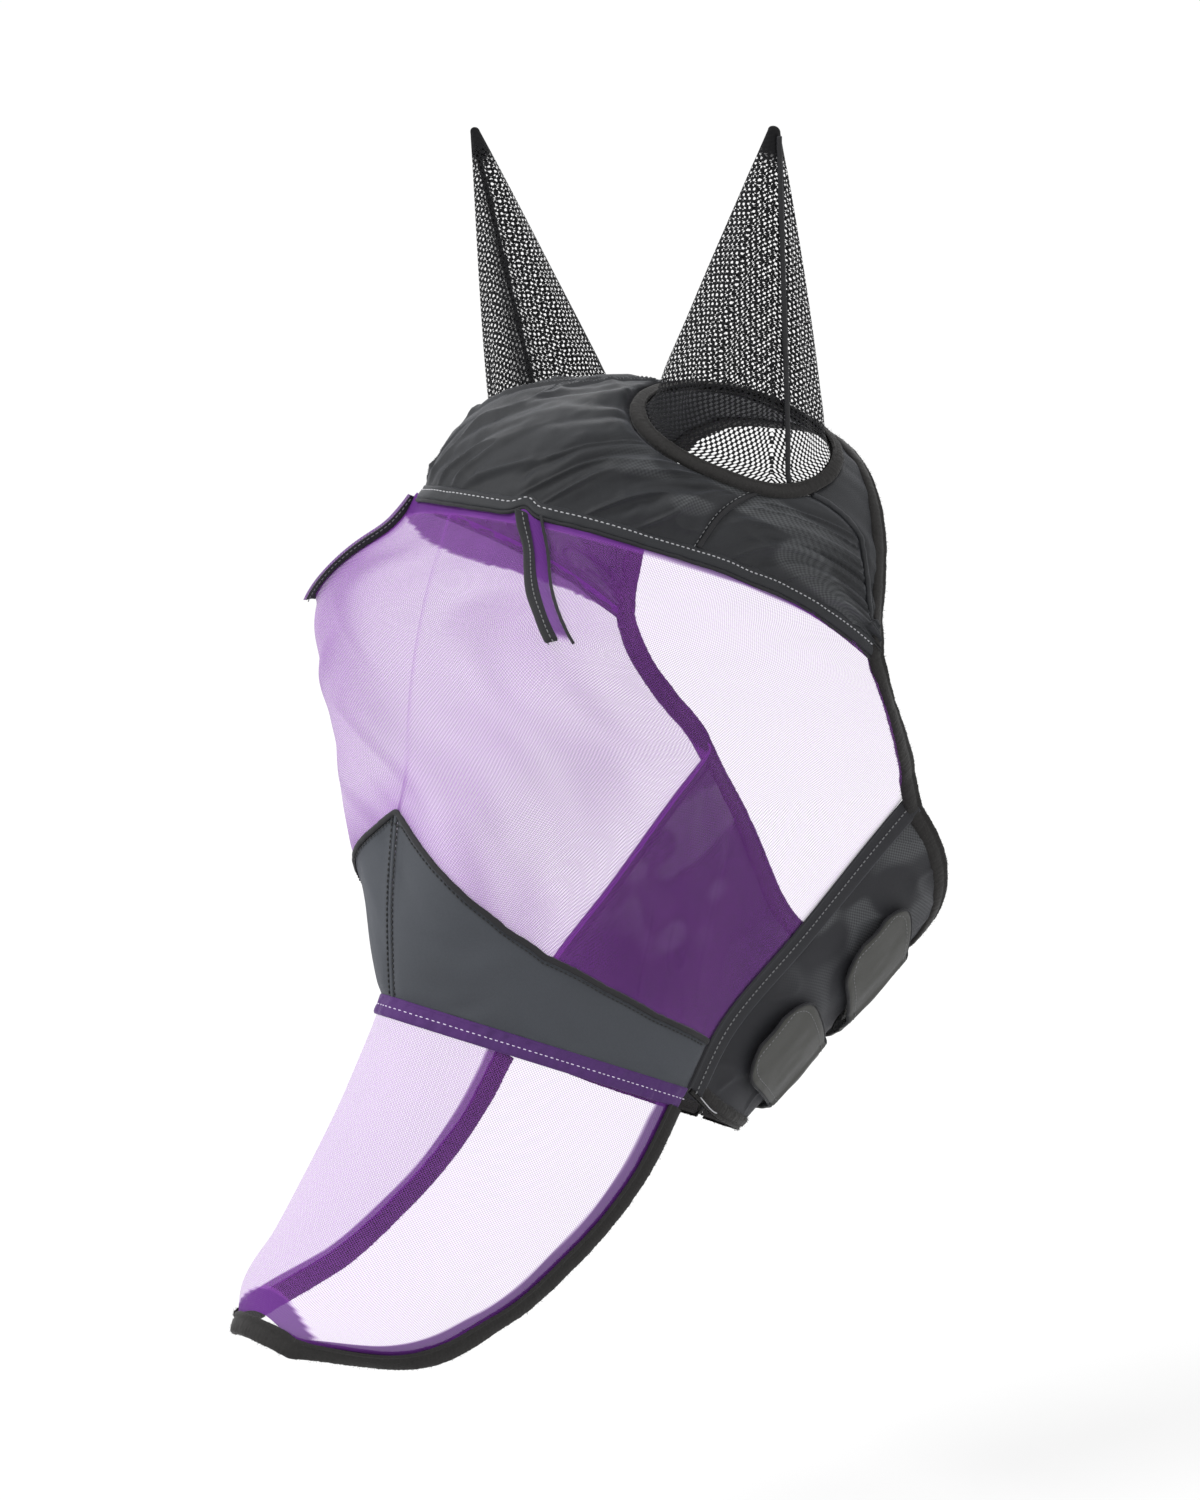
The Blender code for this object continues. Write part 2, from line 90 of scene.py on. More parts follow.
BINDING_HALF = 6.5
BINDING_THICK = 2.6
BINDING_ROOM = 14.2
SEAM_GAP = 1.2
NOSEBAND_TOP = [(0.0, 0.66), (0.05, 0.70), (0.115, 0.745), (0.18, 0.79), (0.27, 0.835),
                (0.38, 0.87), (0.57, 0.902), (0.75, 0.925), (1.0, 0.945)]
DART_START, DART_END, DART_DEPTH = 0.165, 0.29, 0.28
DART_TALL = 8.5
# How far each dart's tape stays below that height, and how far it leans over.
DART_SHAPE = {"left": (1.0, 4.6), "right": (3.2, 3.4)}
HEM_WIDE = 10.5
EAR_V = {1: 0.62, -1: 0.535}
EAR_T = {1: 0.335, -1: 0.415}
EAR_HALF_V, EAR_HALF_T = 0.265, 0.195
EAR_CONE_SHARE = 0.88
EAR_SHRINK = 0.07
EAR_TIPS = {"left": (121, -3, 145), "right": (-127, -18, 143)}
POLL_SEAM = 0.60
SIDE_SEAM = 0.50
REAR_STRIP = 15.0
TABS = {"front": (0.545, 0.843, 0.80), "rear": (0.175, 0.433, 0.74)}
TAB_FOLD = 0.375
TAB_ROOT = -0.12
TAB_LIFT = 6.2
CROWN_THICK = 1.6
BAND_THICK = 1.8
SIDE_PANEL_END = 0.988
POLL_END = 0.90
RING_ROOM = 1.055
BLEND_SHARE = 0.22
EAR_RING_LIFT = {"left": 1.6, "right": 3.0}
SIDES = {"left": 1, "right": -1}


# ---------------------------------------------------------------- surfaces

def smooth(keys, rows, at):
    """Values on a smooth curve through the rows, one row per key."""
    k, r = np.asarray(keys, float), np.asarray(rows, float)
    slope = np.gradient(r, k, axis=0)
    a = np.clip(np.atleast_1d(np.asarray(at, float)), k[0], k[-1])
    i = np.clip(np.searchsorted(k, a, side="right") - 1, 0, len(k) - 2)
    h = (k[i + 1] - k[i])[:, None]
    t = (a - k[i])[:, None] / h
    return (
        (2 * t**3 - 3 * t**2 + 1) * r[i]
        + (t**3 - 2 * t**2 + t) * h * slope[i]
        + (3 * t**2 - 2 * t**3) * r[i + 1]
        + (t**3 - t**2) * h * slope[i + 1]
    )


def arch(middle, end, wide, power, bulge, bow, count):
    """Half an arch from its middle to its free edge, as evenly spaced points, and its length."""
    a = np.linspace(0, math.pi / 2, count)
    q = np.sort(np.r_[1 - np.cos(a) ** (2 / power), np.linspace(0, 1, count)[1:-1]])
    x = wide * np.maximum(1 - (1 - q) ** power, 0) ** (1 / power)
    x = x - (wide - end[0]) * np.clip((q - bulge) / (1 - bulge), 0, 1) ** 2
    y = middle[0] + (end[1] - middle[0]) * q + bow * np.sin(math.pi * q)
    z = middle[1] + (end[2] - middle[1]) * q
    p = np.stack([x, y, z], -1)
    along = np.r_[0, np.cumsum(np.linalg.norm(np.diff(p, axis=0), axis=1))]
    even = np.linspace(0, along[-1], count)
    return np.stack([np.interp(even, along, p[:, c]) for c in range(3)], -1), along[-1]


def unit(a):
    return a / np.maximum(np.linalg.norm(a, axis=-1), 1e-9)[..., None]


class Skin:
    """A surface made of arches: v runs along it, t round it from the middle (0) to an edge (1)."""

    def __init__(self, stations, rows=161, columns=361):
        values = np.array(stations, float)
        at = np.linspace(0, 1, rows)
        self.rows, self.columns = rows, columns
        self.grid = np.empty((rows, columns, 3))
        self.round = np.empty(rows)
        for i, r in enumerate(smooth(values[:, 0], values[:, 1:], at)):
            self.grid[i], self.round[i] = arch(r[0:2], r[2:5], *r[5:9], columns)
        steps = np.linalg.norm(np.diff(self.grid, axis=0), axis=2)
        self.down = np.concatenate([np.zeros((1, columns)), np.cumsum(steps, axis=0)])
        self.facing = 1.0
        probe = self.at(0.5, 0.5)
        inside = self.at(0.5, -0.5) * 0.5 + probe * 0.5 + (self.at(0.5, 1.0) - probe) * 0.3
        if np.dot(self.normal(0.5, 0.5), probe - inside * np.array([0, 1, 1])) < 0:
            self.facing = -1.0

    def read(self, table, v, t):
        v, t = np.broadcast_arrays(np.asarray(v, float), np.abs(np.asarray(t, float)))
        fv, ft = np.clip(v, 0, 1) * (self.rows - 1), np.clip(t, 0, 1) * (self.columns - 1)
        i = np.clip(fv.astype(int), 0, self.rows - 2)
        j = np.clip(ft.astype(int), 0, self.columns - 2)
        a, b = fv - i, ft - j
        if table.ndim == 3:
            a, b = a[..., None], b[..., None]
        p = (table[i, j] * (1 - b) + table[i, j + 1] * b) * (1 - a)
        return p + (table[i + 1, j] * (1 - b) + table[i + 1, j + 1] * b) * a

    def at(self, v, t):
        """Points at v and t. A negative t is on the right side."""
        p = self.read(self.grid, v, t)
        p[..., 0] *= np.where(np.asarray(t, float) + 0 * np.asarray(v, float) < 0, -1.0, 1.0)
        return p

    def normal(self, v, t):
        """Directions away from the head at v and t."""
        e = 0.012
        v, t = np.broadcast_arrays(np.asarray(v, float), np.asarray(t, float))
        va, vb = np.clip(v - e, 0, 1), np.clip(v + e, 0, 1)
        ta, tb = np.clip(t - e, -1, 1), np.clip(t + e, -1, 1)
        n = np.cross(self.at(vb, t) - self.at(va, t), self.at(v, tb) - self.at(v, ta))
        return unit(n) * self.facing

    def across(self, v, mm):
        """A distance round the arch at v, as a share of its half length."""
        return mm / np.interp(v, np.linspace(0, 1, self.rows), self.round)

    def flat(self, v, t):
        """Where v and t lie on the cloth laid flat, in millimetres: across and down."""
        return np.stack([t * self.across(v, 1.0) ** -1, self.read(self.down, v, t)], -1)

    def slide(self, v, t, mm):
        """The v reached from v after a distance along the surface at t."""
        v, t, mm = np.broadcast_arrays(*(np.asarray(a, float) for a in (v, t, mm)))
        at, out = np.linspace(0, 1, self.rows), np.empty(v.shape)
        for i in np.ndindex(v.shape):
            column = self.down[:, int(round(abs(t[i]) * (self.columns - 1)))]
            out[i] = np.interp(np.interp(v[i], at, column) + mm[i], column, at)
        return out


def limit(function):
    """function(t) read quickly, from 401 places round the arch."""
    knots = np.linspace(-1, 1, 401)
    values = function(knots)
    return lambda t: np.interp(t, knots, values)


def between(low, high, share):
    return low + (high - low) * share


def ease(x):
    x = np.clip(x, 0, 1)
    return x * x * (3 - 2 * x)


def bump_at(x, middle, half):
    """A smooth bump of height 1 round middle."""
    return np.exp(-(((x - middle) / half) ** 2))


def noise(x, y, seed):
    """Smooth random values from -1 to 1, one cell per unit."""
    table = np.random.default_rng(seed).uniform(-1, 1, (67, 71))
    x, y = np.broadcast_arrays(np.asarray(x, float), np.asarray(y, float))
    i, j = np.floor(x).astype(int), np.floor(y).astype(int)
    a, b = ease(x - i), ease(y - j)
    i0, i1, j0, j1 = i % 67, (i + 1) % 67, j % 71, (j + 1) % 71
    return between(between(table[i0, j0], table[i1, j0], a),
                   between(table[i0, j1], table[i1, j1], a), b)


face, nose, crown, jaw = (Skin(s) for s in (FACE, NOSE, CROWN, JAW))


# ---------------------------------------------------------------- mesh building

def make(name, points, quads, material, flat=None, density_and_painted_light=None, tris=()):
    """A mesh object from points in millimetres, with four-sided and three-sided faces. flat is
    each point's place on the cloth, and the share passed after it marks doubled cloth, painted
    shade on the face mesh and painted sheen on woven cloth."""
    mesh = bpy.data.meshes.new(name)
    p = np.asarray(points, np.float32).reshape(-1, 3) * MM
    quads = np.asarray(quads, np.int32).ravel()
    tris = np.asarray(tris, np.int32).ravel()
    loops = np.concatenate([quads, tris])
    starts = np.r_[np.arange(0, quads.size, 4), quads.size + np.arange(0, tris.size, 3)]
    mesh.vertices.add(len(p))
    mesh.vertices.foreach_set("co", p.ravel())
    mesh.loops.add(len(loops))
    mesh.loops.foreach_set("vertex_index", loops)
    mesh.polygons.add(len(starts))
    mesh.polygons.foreach_set("loop_start", starts.astype(np.int32))
    mesh.update(calc_edges=True)
    if flat is not None:
        layer = mesh.uv_layers.new(name="cloth")
        uv = np.asarray(flat, np.float32).reshape(-1, 2)[loops] * MM
        layer.data.foreach_set("uv", uv.ravel())
    if density_and_painted_light is not None:
        shade = mesh.attributes.new("density_and_painted_light", "FLOAT", "POINT")
        shade.data.foreach_set("value", np.asarray(density_and_painted_light, np.float32).ravel())
    mesh.polygons.foreach_set("use_smooth", np.full(len(starts), True))
    mesh.materials.append(material)
    mesh.validate()
    obj = bpy.data.objects.new(name, mesh)
    bpy.context.scene.collection.objects.link(obj)
    return obj


def grid_faces(rows, columns, wrap=False, flip=False, start=0):
    i = np.arange(rows - 1)[:, None]
    j = np.arange(columns if wrap else columns - 1)[None, :]
    k = (j + 1) % columns
    q = np.stack(np.broadcast_arrays(i * columns + j, i * columns + k, (i + 1) * columns + k,
                                     (i + 1) * columns + j), -1).reshape(-1, 4) + start
    return q[:, ::-1] if flip else q


def single(name, points, flat, material, density_and_painted_light):
    """One layer of open cloth on a grid of points."""
    return make(name, points, grid_faces(*points.shape[:2]), material, flat, density_and_painted_light)


def folded(name, points, normals, thick, flat, material, lift=0.0, roll=2.4, density_and_painted_light=None):
    """Two faces of a thicker cloth, closed round its edges, which are rolled over."""
    rows, columns = points.shape[:2]
    down = np.r_[0, np.cumsum(np.linalg.norm(np.diff(points[:, columns // 2], axis=0), axis=1))]
    over = np.r_[0, np.cumsum(np.linalg.norm(np.diff(points[rows // 2], axis=0), axis=1))]
    edge = np.minimum.outer(np.minimum(down, down[-1] - down), np.minimum(over, over[-1] - over))
    q = np.clip(edge / roll, 0, 1)
    half = thick / 2 * (0.12 + 0.88 * np.sqrt(1 - (1 - q) ** 2))[..., None]
    top = points + normals * (lift + half)
    under = points + normals * (lift - half)
    size = rows * columns
    index = np.arange(size).reshape(rows, columns)
    faces = [grid_faces(rows, columns), grid_faces(rows, columns, flip=True, start=size)]
    for line, turn in ((index[0], False), (index[-1], True), (index[:, 0], True),
                       (index[:, -1], False)):
        a, b = line[:-1], line[1:]
        q = np.stack([b, a, size + a, size + b], -1)
        faces.append(q[:, ::-1] if turn else q)
    flat2 = np.concatenate([flat.reshape(-1, 2)] * 2)
    d = None if density_and_painted_light is None else np.concatenate([np.ravel(density_and_painted_light)] * 2)
    return make(name, np.concatenate([top.reshape(-1, 3), under.reshape(-1, 3)]),
                np.concatenate(faces), material, flat2, d)


def evenly(path, normals, step, closed=False):
    """A path and its normals at even steps, with the distance along it."""
    if closed:
        path, normals = np.r_[path, path[:1]], np.r_[normals, normals[:1]]
    along = np.r_[0, np.cumsum(np.linalg.norm(np.diff(path, axis=0), axis=1))]
    count = max(4, int(round(along[-1] / step)) + 1)
    at = np.linspace(0, along[-1], count)[: -1 if closed else None]
    p = np.stack([np.interp(at, along, path[:, c]) for c in range(3)], -1)
    n = unit(np.stack([np.interp(at, along, normals[:, c]) for c in range(3)], -1))
    return p, n, at


def frames(path, normals, closed=False):
    """Directions along, across and away from the surface at each point of a path."""
    if closed:
        along = np.roll(path, -1, 0) - np.roll(path, 1, 0)
    else:
        along = np.gradient(path, axis=0)
    along = unit(along)
    side = unit(np.cross(along, normals))
    return along, side, unit(np.cross(side, along))


def rings_mesh(name, points, flat, material, closed, wrap):
    """A tube made of rings of points: joined end to end when closed, or else with a cap at each
    end. Without wrap, each ring stays open."""
    rows, columns = points.shape[:2]
    size = rows * columns
    faces = grid_faces(rows + closed, columns, wrap)
    if closed:
        return make(name, points, faces % size, material, flat)
    k = np.arange(columns if wrap else columns - 1)
    m = (k + 1) % columns
    hub = np.full(len(k), size)
    tris = np.concatenate([np.stack([hub, m, k], -1),
                           np.stack([hub + 1, size - columns + k, size - columns + m], -1)])
    hubs = np.array([points[0].mean(0), points[-1].mean(0)])
    return make(name, np.concatenate([points.reshape(-1, 3), hubs]), faces, material,
                np.concatenate([flat.reshape(-1, 2), np.zeros((2, 2))]), tris=tris)


def binding(name, path, normals, half, thick, inner, seed, closed=False, lip=1.35, lift=0.0):
    """A strip of fleece folded over an edge: a soft tube, open on the side the cloth enters.
    inner is 1 or -1, the side of the opening. Returns it and its fibres."""
    step, count, hairs = 0.8, 26, 11
    p, n, along = evenly(path, normals, step, closed)
    _, side, up = frames(p, n, closed)
    side = side * inner
    start = math.asin(min(0.99, (lip / thick) ** 1.25))
    w = np.linspace(start, TURN - start, count)
    c = np.sign(np.cos(w)) * np.abs(np.cos(w)) ** 0.6
    s = np.sign(np.sin(w)) * np.abs(np.sin(w)) ** 0.8
    a, b = along[:, None], w[None, :]
    rib = np.sin(TURN * (a / 2.7 + 0.35 * noise(a / 9, b / 2, seed)))
    puff = 0.12 * rib + 0.30 * noise(a / 1.7, b / 0.5, seed + 1) + 0.35 * noise(a / 7, b, seed + 2)
    seam = 1 - 0.40 * bump_at(c, 0.45, 0.16)[None, :]
    wide = half + 0.55 * puff + 0.5 * noise(a / 26, 0.5, seed + 3)
    tall = (thick + 0.50 * puff) * seam
    points = (p[:, None] + side[:, None] * (c * wide)[..., None]
              + up[:, None] * (s * tall + lift)[..., None])
    flat = np.stack(np.broadcast_arrays(a, b * half), -1)
    obj = rings_mesh(name, points, flat, fleece, closed, wrap=False)
    away = unit(side[:, None] * (c / half)[:, None] + up[:, None] * (s / thick)[:, None])
    hair = fibres(name + "_fibres", points, away, int(len(along) * step * hairs), seed + 9)
    return obj, hair


def tube(name, path, normals, wide, tall, material, lift=0.0, step=1.2, sides=10, uneven=0.12):
    """A narrow rolled strip along a path."""
    p, n, along = evenly(path, normals, step)
    _, side, up = frames(p, n)
    w = np.linspace(0, TURN, sides + 1)[:-1]
    swell = 1 + uneven * noise(along[:, None] / 3.2, w[None] / 1.5, 1)
    points = (p[:, None] + side[:, None] * (np.cos(w) * wide * swell)[..., None]
              + up[:, None] * (np.sin(w) * tall * swell + lift)[..., None])
    flat = np.stack(np.broadcast_arrays(along[:, None], w[None] * wide), -1)
    return rings_mesh(name, points, flat, material, closed=False, wrap=True)


def fibres(name, points, away, count, seed, long=1.5, wide=0.16):
    """Short curled hairs standing on a surface of points, as thin pointed blades."""
    rng = np.random.default_rng(seed)
    flat_p, flat_n = points.reshape(-1, 3), away.reshape(-1, 3)
    pick = rng.integers(0, len(flat_p), count)
    root = flat_p[pick] + rng.normal(0, 0.35, (count, 3))
    out = unit(flat_n[pick] + rng.normal(0, 0.55, (count, 3)))
    bend = unit(np.cross(out, rng.normal(0, 1, (count, 3))))
    size = long * rng.uniform(0.5, 1.2, count)[:, None]
    across = unit(np.cross(out, bend)) * wide / 2
    root = root - out * 0.4
    mid = root + out * size * 0.6 + bend * size * 0.15
    tip = root + out * size * 0.9 + bend * size * 0.6
    p = np.stack([root - across, root + across, mid + across * 0.8, mid - across * 0.8, tip], 1)
    base = np.arange(count)[:, None] * 5
    quads = base + np.array([[0, 1, 2, 3]])
    tris = base + np.array([[3, 2, 4]])
    return make(name, p, quads, fleece_hair, np.zeros((count * 5, 2)), tris=tris)


def stitches(name, path, normals, material, pitch=3.2, long=2.2, thick=0.45, lift=0.3):
    """A row of sewn stitches: short arched threads, one every pitch."""
    p, n, _ = evenly(path, normals, pitch)
    forward, side, up = frames(p, n)
    rings = np.array([-0.5, -0.36, 0.0, 0.36, 0.5])
    size = np.array([0.25, 0.9, 1.0, 0.9, 0.25]) * thick
    rise = np.array([-0.45, 0.05, 0.2, 0.05, -0.45])
    w = np.linspace(0, TURN, 6)[:-1]
    centre = (p[:, None] + forward[:, None] * (rings * long)[None, :, None]
              + up[:, None] * (lift + rise * thick)[None, :, None])
    points = (centre[:, :, None]
              + side[:, None, None] * (np.cos(w)[None, :] * size[:, None])[None, ..., None]
              + up[:, None, None] * (np.sin(w)[None, :] * size[:, None])[None, ..., None])
    count = len(p)
    one = grid_faces(5, 5, wrap=True)
    faces = (one[None] + np.arange(count)[:, None, None] * 25).reshape(-1, 4)
    return make(name, points, faces, material)


# ---------------------------------------------------------------- materials

def node(tree, kind, inputs=None, **settings):
    made = tree.nodes.new(kind)
    for key, value in settings.items():
        setattr(made, key, value)
    for key, value in (inputs or {}).items():
        if isinstance(value, bpy.types.NodeSocket):
            tree.links.new(value, made.inputs[key])
        else:
            made.inputs[key].default_value = value
    return made


def math_node(tree, how, a, b=None, c=None):
    made = tree.nodes.new("ShaderNodeMath")
    made.operation = how
    for i, value in enumerate((a, b, c)):
        if value is None:
            continue
        if isinstance(value, bpy.types.NodeSocket):
            tree.links.new(value, made.inputs[i])
        else:
            made.inputs[i].default_value = value
    return made.outputs[0]


def cloth_axes(tree):
    """The across and down distances on the flat cloth, in metres."""
    uv = node(tree, "ShaderNodeUVMap", uv_map="cloth")
    parts = node(tree, "ShaderNodeSeparateXYZ", {"Vector": uv.outputs[0]})
    return uv.outputs[0], parts.outputs[0], parts.outputs[1]


def wave(tree, value, pitch, shift=0.0):
    """sin of value, once round in pitch metres."""
    return math_node(tree, "SINE", math_node(tree, "MULTIPLY_ADD", value, TURN / pitch, shift))


def mix_colour(tree, share, a, b):
    made = node(tree, "ShaderNodeMix", data_type="RGBA")
    for i, value in ((0, share), (6, a), (7, b)):
        if isinstance(value, bpy.types.NodeSocket):
            tree.links.new(value, made.inputs[i])
        elif i == 0:
            made.inputs[i].default_value = value
        else:
            made.inputs[i].default_value = (*value, 1)
    return made.outputs[2]


def start_material(name):
    m = bpy.data.materials.new(name)
    m.use_nodes = True
    tree = m.node_tree
    tree.nodes.clear()
    shader = tree.nodes.new("ShaderNodeBsdfPrincipled")
    out = tree.nodes.new("ShaderNodeOutputMaterial")
    tree.links.new(shader.outputs[0], out.inputs[0])
    return m, tree, shader


def woven(name, dark, light, rough=0.75, sheen=0.25, pitch=0.9, blotch=40.0, depth=0.25,
          weft_pitch=None, sheen_tint=(0.6, 0.62, 0.7), twill=0.0, specular=0.35,
          sheen_grey=(0.11, 0.115, 0.12)):
    """Close-woven cloth: crossing yarns, uneven dye and patches of painted grey sheen."""
    m, tree, shader = start_material(name)
    uv, across, down = cloth_axes(tree)
    where = node(tree, "ShaderNodeTexCoord").outputs["Object"]
    slant = math_node(tree, "MULTIPLY_ADD", down, twill, across)
    warp = wave(tree, slant, pitch * MM)
    weft = wave(tree, down, (weft_pitch or pitch) * MM)
    crossing = math_node(tree, "MULTIPLY", warp, weft)
    patch = node(tree, "ShaderNodeTexNoise", {"Vector": where, "Scale": blotch, "Detail": 3.0})
    fine = node(tree, "ShaderNodeTexNoise", {"Vector": where, "Scale": 900.0, "Detail": 2.0})
    yarn = math_node(tree, "MULTIPLY_ADD", crossing, 0.22, 0.30)
    share = math_node(tree, "MULTIPLY_ADD", patch.outputs[0], 0.7, yarn)
    share = math_node(tree, "MULTIPLY_ADD", fine.outputs[0], 0.35, share)
    share = math_node(tree, "SUBTRACT", share, 0.40)
    share.node.use_clamp = True
    # A point attribute says where painted sheen shows, as a pale grey hatching along the yarns.
    painted_sheen = node(tree, "ShaderNodeAttribute", attribute_name="density_and_painted_light").outputs["Fac"]
    hatch = math_node(tree, "MULTIPLY", wave(tree, slant, 2.6 * MM), wave(tree, down, 2.3 * MM))
    hatch = math_node(tree, "MULTIPLY_ADD", hatch, 0.45, 0.55)
    painted_sheen = math_node(tree, "MULTIPLY", painted_sheen, hatch)
    painted_sheen.node.use_clamp = True
    colour = mix_colour(tree, share, dark, light)
    tree.links.new(mix_colour(tree, painted_sheen, colour, sheen_grey), shader.inputs["Base Color"])
    roughness = math_node(tree, "MULTIPLY_ADD", patch.outputs[0], 0.3, rough - 0.15)
    tree.links.new(roughness, shader.inputs["Roughness"])
    height = math_node(tree, "MULTIPLY_ADD", fine.outputs[0], 0.5, crossing)
    relief = node(tree, "ShaderNodeBump", {"Strength": depth, "Distance": 0.0004,
                                           "Height": height})
    tree.links.new(relief.outputs[0], shader.inputs["Normal"])
    shader.inputs["Sheen Weight"].default_value = sheen
    shader.inputs["Sheen Roughness"].default_value = 0.45
    shader.inputs["Sheen Tint"].default_value = (*sheen_tint, 1)
    shader.inputs["Specular IOR Level"].default_value = specular
    return m


def net(name, thread, deep, doubled, across_pitch, down_pitch, low, high, rough=0.6, sharp=3.0,
        edge=0.1):
    """See-through mesh: staggered holes, low opaque, in threads that are high opaque. A point
    attribute says where the cloth is doubled, and on the face mesh where painted shade deepens it."""
    m, tree, shader = start_material(name)
    uv, across, down = cloth_axes(tree)
    a = wave(tree, across, across_pitch * MM)
    b = wave(tree, down, down_pitch * MM)
    product = math_node(tree, "MULTIPLY", a, b)
    opening = math_node(tree, "MULTIPLY_ADD", product, sharp, 0.5 - edge * sharp)
    opening.node.use_clamp = True
    opacity = math_node(tree, "MULTIPLY_ADD", opening, low - high, high)
    density_and_painted_light = node(tree, "ShaderNodeAttribute", attribute_name="density_and_painted_light")
    more = math_node(tree, "SUBTRACT", 1.0, density_and_painted_light.outputs["Fac"])
    clear = math_node(tree, "SUBTRACT", 1.0, opacity)
    opacity = math_node(tree, "SUBTRACT", 1.0, math_node(tree, "MULTIPLY", clear, more))
    tree.links.new(opacity, shader.inputs["Alpha"])
    where = node(tree, "ShaderNodeTexCoord").outputs["Object"]
    patch = node(tree, "ShaderNodeTexNoise", {"Vector": where, "Scale": 30.0, "Detail": 2.0})
    share = math_node(tree, "MULTIPLY_ADD", opening, -0.4, patch.outputs[0])
    share.node.use_clamp = True
    colour = mix_colour(tree, share, thread, deep)
    tree.links.new(mix_colour(tree, density_and_painted_light.outputs["Fac"], colour, doubled),
                   shader.inputs["Base Color"])
    relief = node(tree, "ShaderNodeBump", {"Strength": 0.4, "Distance": 0.0003,
                                           "Height": product})
    tree.links.new(relief.outputs[0], shader.inputs["Normal"])
    shader.inputs["Roughness"].default_value = rough
    shader.inputs["Specular IOR Level"].default_value = 0.08
    return m


def plain(name, colour, rough, other=None, scale=300.0, sheen=0.0, bump=0.2):
    """Thread, tape or felt: one colour broken up by fine noise."""
    m, tree, shader = start_material(name)
    where = node(tree, "ShaderNodeTexCoord").outputs["Object"]
    grain = node(tree, "ShaderNodeTexNoise", {"Vector": where, "Scale": scale, "Detail": 4.0})
    tree.links.new(mix_colour(tree, grain.outputs[0], colour, other or colour),
                   shader.inputs["Base Color"])
    relief = node(tree, "ShaderNodeBump", {"Strength": bump, "Distance": 0.0004,
                                           "Height": grain.outputs[0]})
    tree.links.new(relief.outputs[0], shader.inputs["Normal"])
    shader.inputs["Roughness"].default_value = rough
    shader.inputs["Sheen Weight"].default_value = sheen
    shader.inputs["Sheen Roughness"].default_value = 0.4
    return m


purple_net = net("purple_net", (0.42, 0.11, 0.62), (0.29, 0.06, 0.48),
                 (0.085, 0.02, 0.155), 1.8, 1.8, 0.07, 0.38,
                 edge=0.0)
ear_net = net("ear_net", (0.016, 0.0165, 0.018), (0.008, 0.008, 0.009),
              (0.010, 0.010, 0.011), 3.6, 4.2, 0.0, 1.0,
              sharp=8.0, edge=0.08)
purple_cloth = woven("purple_cloth", (0.04, 0.010, 0.085), (0.085, 0.025, 0.15), pitch=0.9,
                     sheen_tint=(0.5, 0.35, 0.7))
crown_weave = woven("crown_weave", (0.006, 0.0065, 0.0075), (0.024, 0.026, 0.030), rough=0.62,
                    sheen=0.16, pitch=0.8, twill=0.5, blotch=25.0)
band_weave = woven("band_weave", (0.038, 0.042, 0.049), (0.066, 0.072, 0.084), rough=0.8,
                   sheen=0.12, pitch=0.8, blotch=18.0)
jaw_weave = woven("jaw_weave", (0.007, 0.007, 0.009), (0.021, 0.0215, 0.026), rough=0.7,
                  sheen=0.14, pitch=0.9, blotch=25.0)
tape_weave = woven("tape_weave", (0.008, 0.008, 0.009), (0.018, 0.018, 0.02), rough=0.7, sheen=0.12,
                   pitch=1.1, blotch=60.0)
tab_cloth = woven("tab_cloth", (0.030, 0.030, 0.026), (0.052, 0.052, 0.046), rough=0.55,
                  sheen=0.15, pitch=0.5, blotch=30.0, depth=0.12)
fleece = plain("fleece", (0.005, 0.0047, 0.0045), 0.95, (0.018, 0.0165, 0.016), 700.0, 0.12, 0.6)
fleece_hair = plain("fleece_hair", (0.008, 0.0075, 0.007), 0.9, (0.030, 0.027, 0.026), 500.0, 0.1)
white_thread = plain("white_thread", (0.50, 0.50, 0.52), 0.7, (0.32, 0.32, 0.34), 900.0)
black_thread = plain("black_thread", (0.004, 0.004, 0.005), 0.5, (0.012, 0.012, 0.013), 900.0)
grey_thread = plain("grey_thread", (0.20, 0.205, 0.21), 0.7, (0.11, 0.11, 0.115), 900.0)
violet_thread = plain("violet_thread", (0.75, 0.68, 0.82), 0.7, (0.5, 0.42, 0.6), 900.0)
hook_nylon = plain("hook_nylon", (0.02, 0.02, 0.02), 0.6, (0.05, 0.05, 0.05), 1200.0, 0.0, 0.8)
loop_nylon = plain("loop_nylon", (0.03, 0.03, 0.028), 0.9, (0.06, 0.06, 0.055), 1500.0, 0.5, 0.8)

def fit(obj, slot, *nodes, body="mask"):
    """Ties a piece to its body and hides the solids that it stands for. slot, its material slot, is
    not used.
    """
    for n in nodes:
        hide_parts(n)
    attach(obj, body)
    return obj


def fit_binding(name, solid, *shape, **more):
    """Ties a fleece binding and its fibres to the mask."""
    strip, hair = binding(name, *shape, **more)
    fit(strip, "fleece_binding", solid)
    fit(hair, "fleece_binding")


def fit_bent(obj, slot, body, start, end, *nodes):
    """Hides the solids that a piece stands for and bakes its placement into its points. The piece
    reaches from the mask onto a moving body; body, start and end, the two points in millimetres
    between which it bends, are not used."""
    for n in nodes:
        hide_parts(n)
    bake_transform(obj)


# ---------------------------------------------------------------- panels

def lay(skin, low, high, ends, rows, columns, margin=None):
    """Points of part of a skin on an even grid: v, t, points, normals and the flat cloth."""
    a = np.linspace(0, 1, rows)[:, None]
    b = np.linspace(0, 1, columns)[None, :]
    share = ends[0] + (ends[1] - ends[0]) * b + 0 * a
    t = share
    for _ in range(3 if margin else 1):
        lo, hi = low(t), high(t)
        v = lo + (hi - lo) * a
        if margin:
            t = share * (1 - skin.across(v, margin(v)))
    return v, t, skin.at(v, t), skin.normal(v, t), skin.flat(v, t)


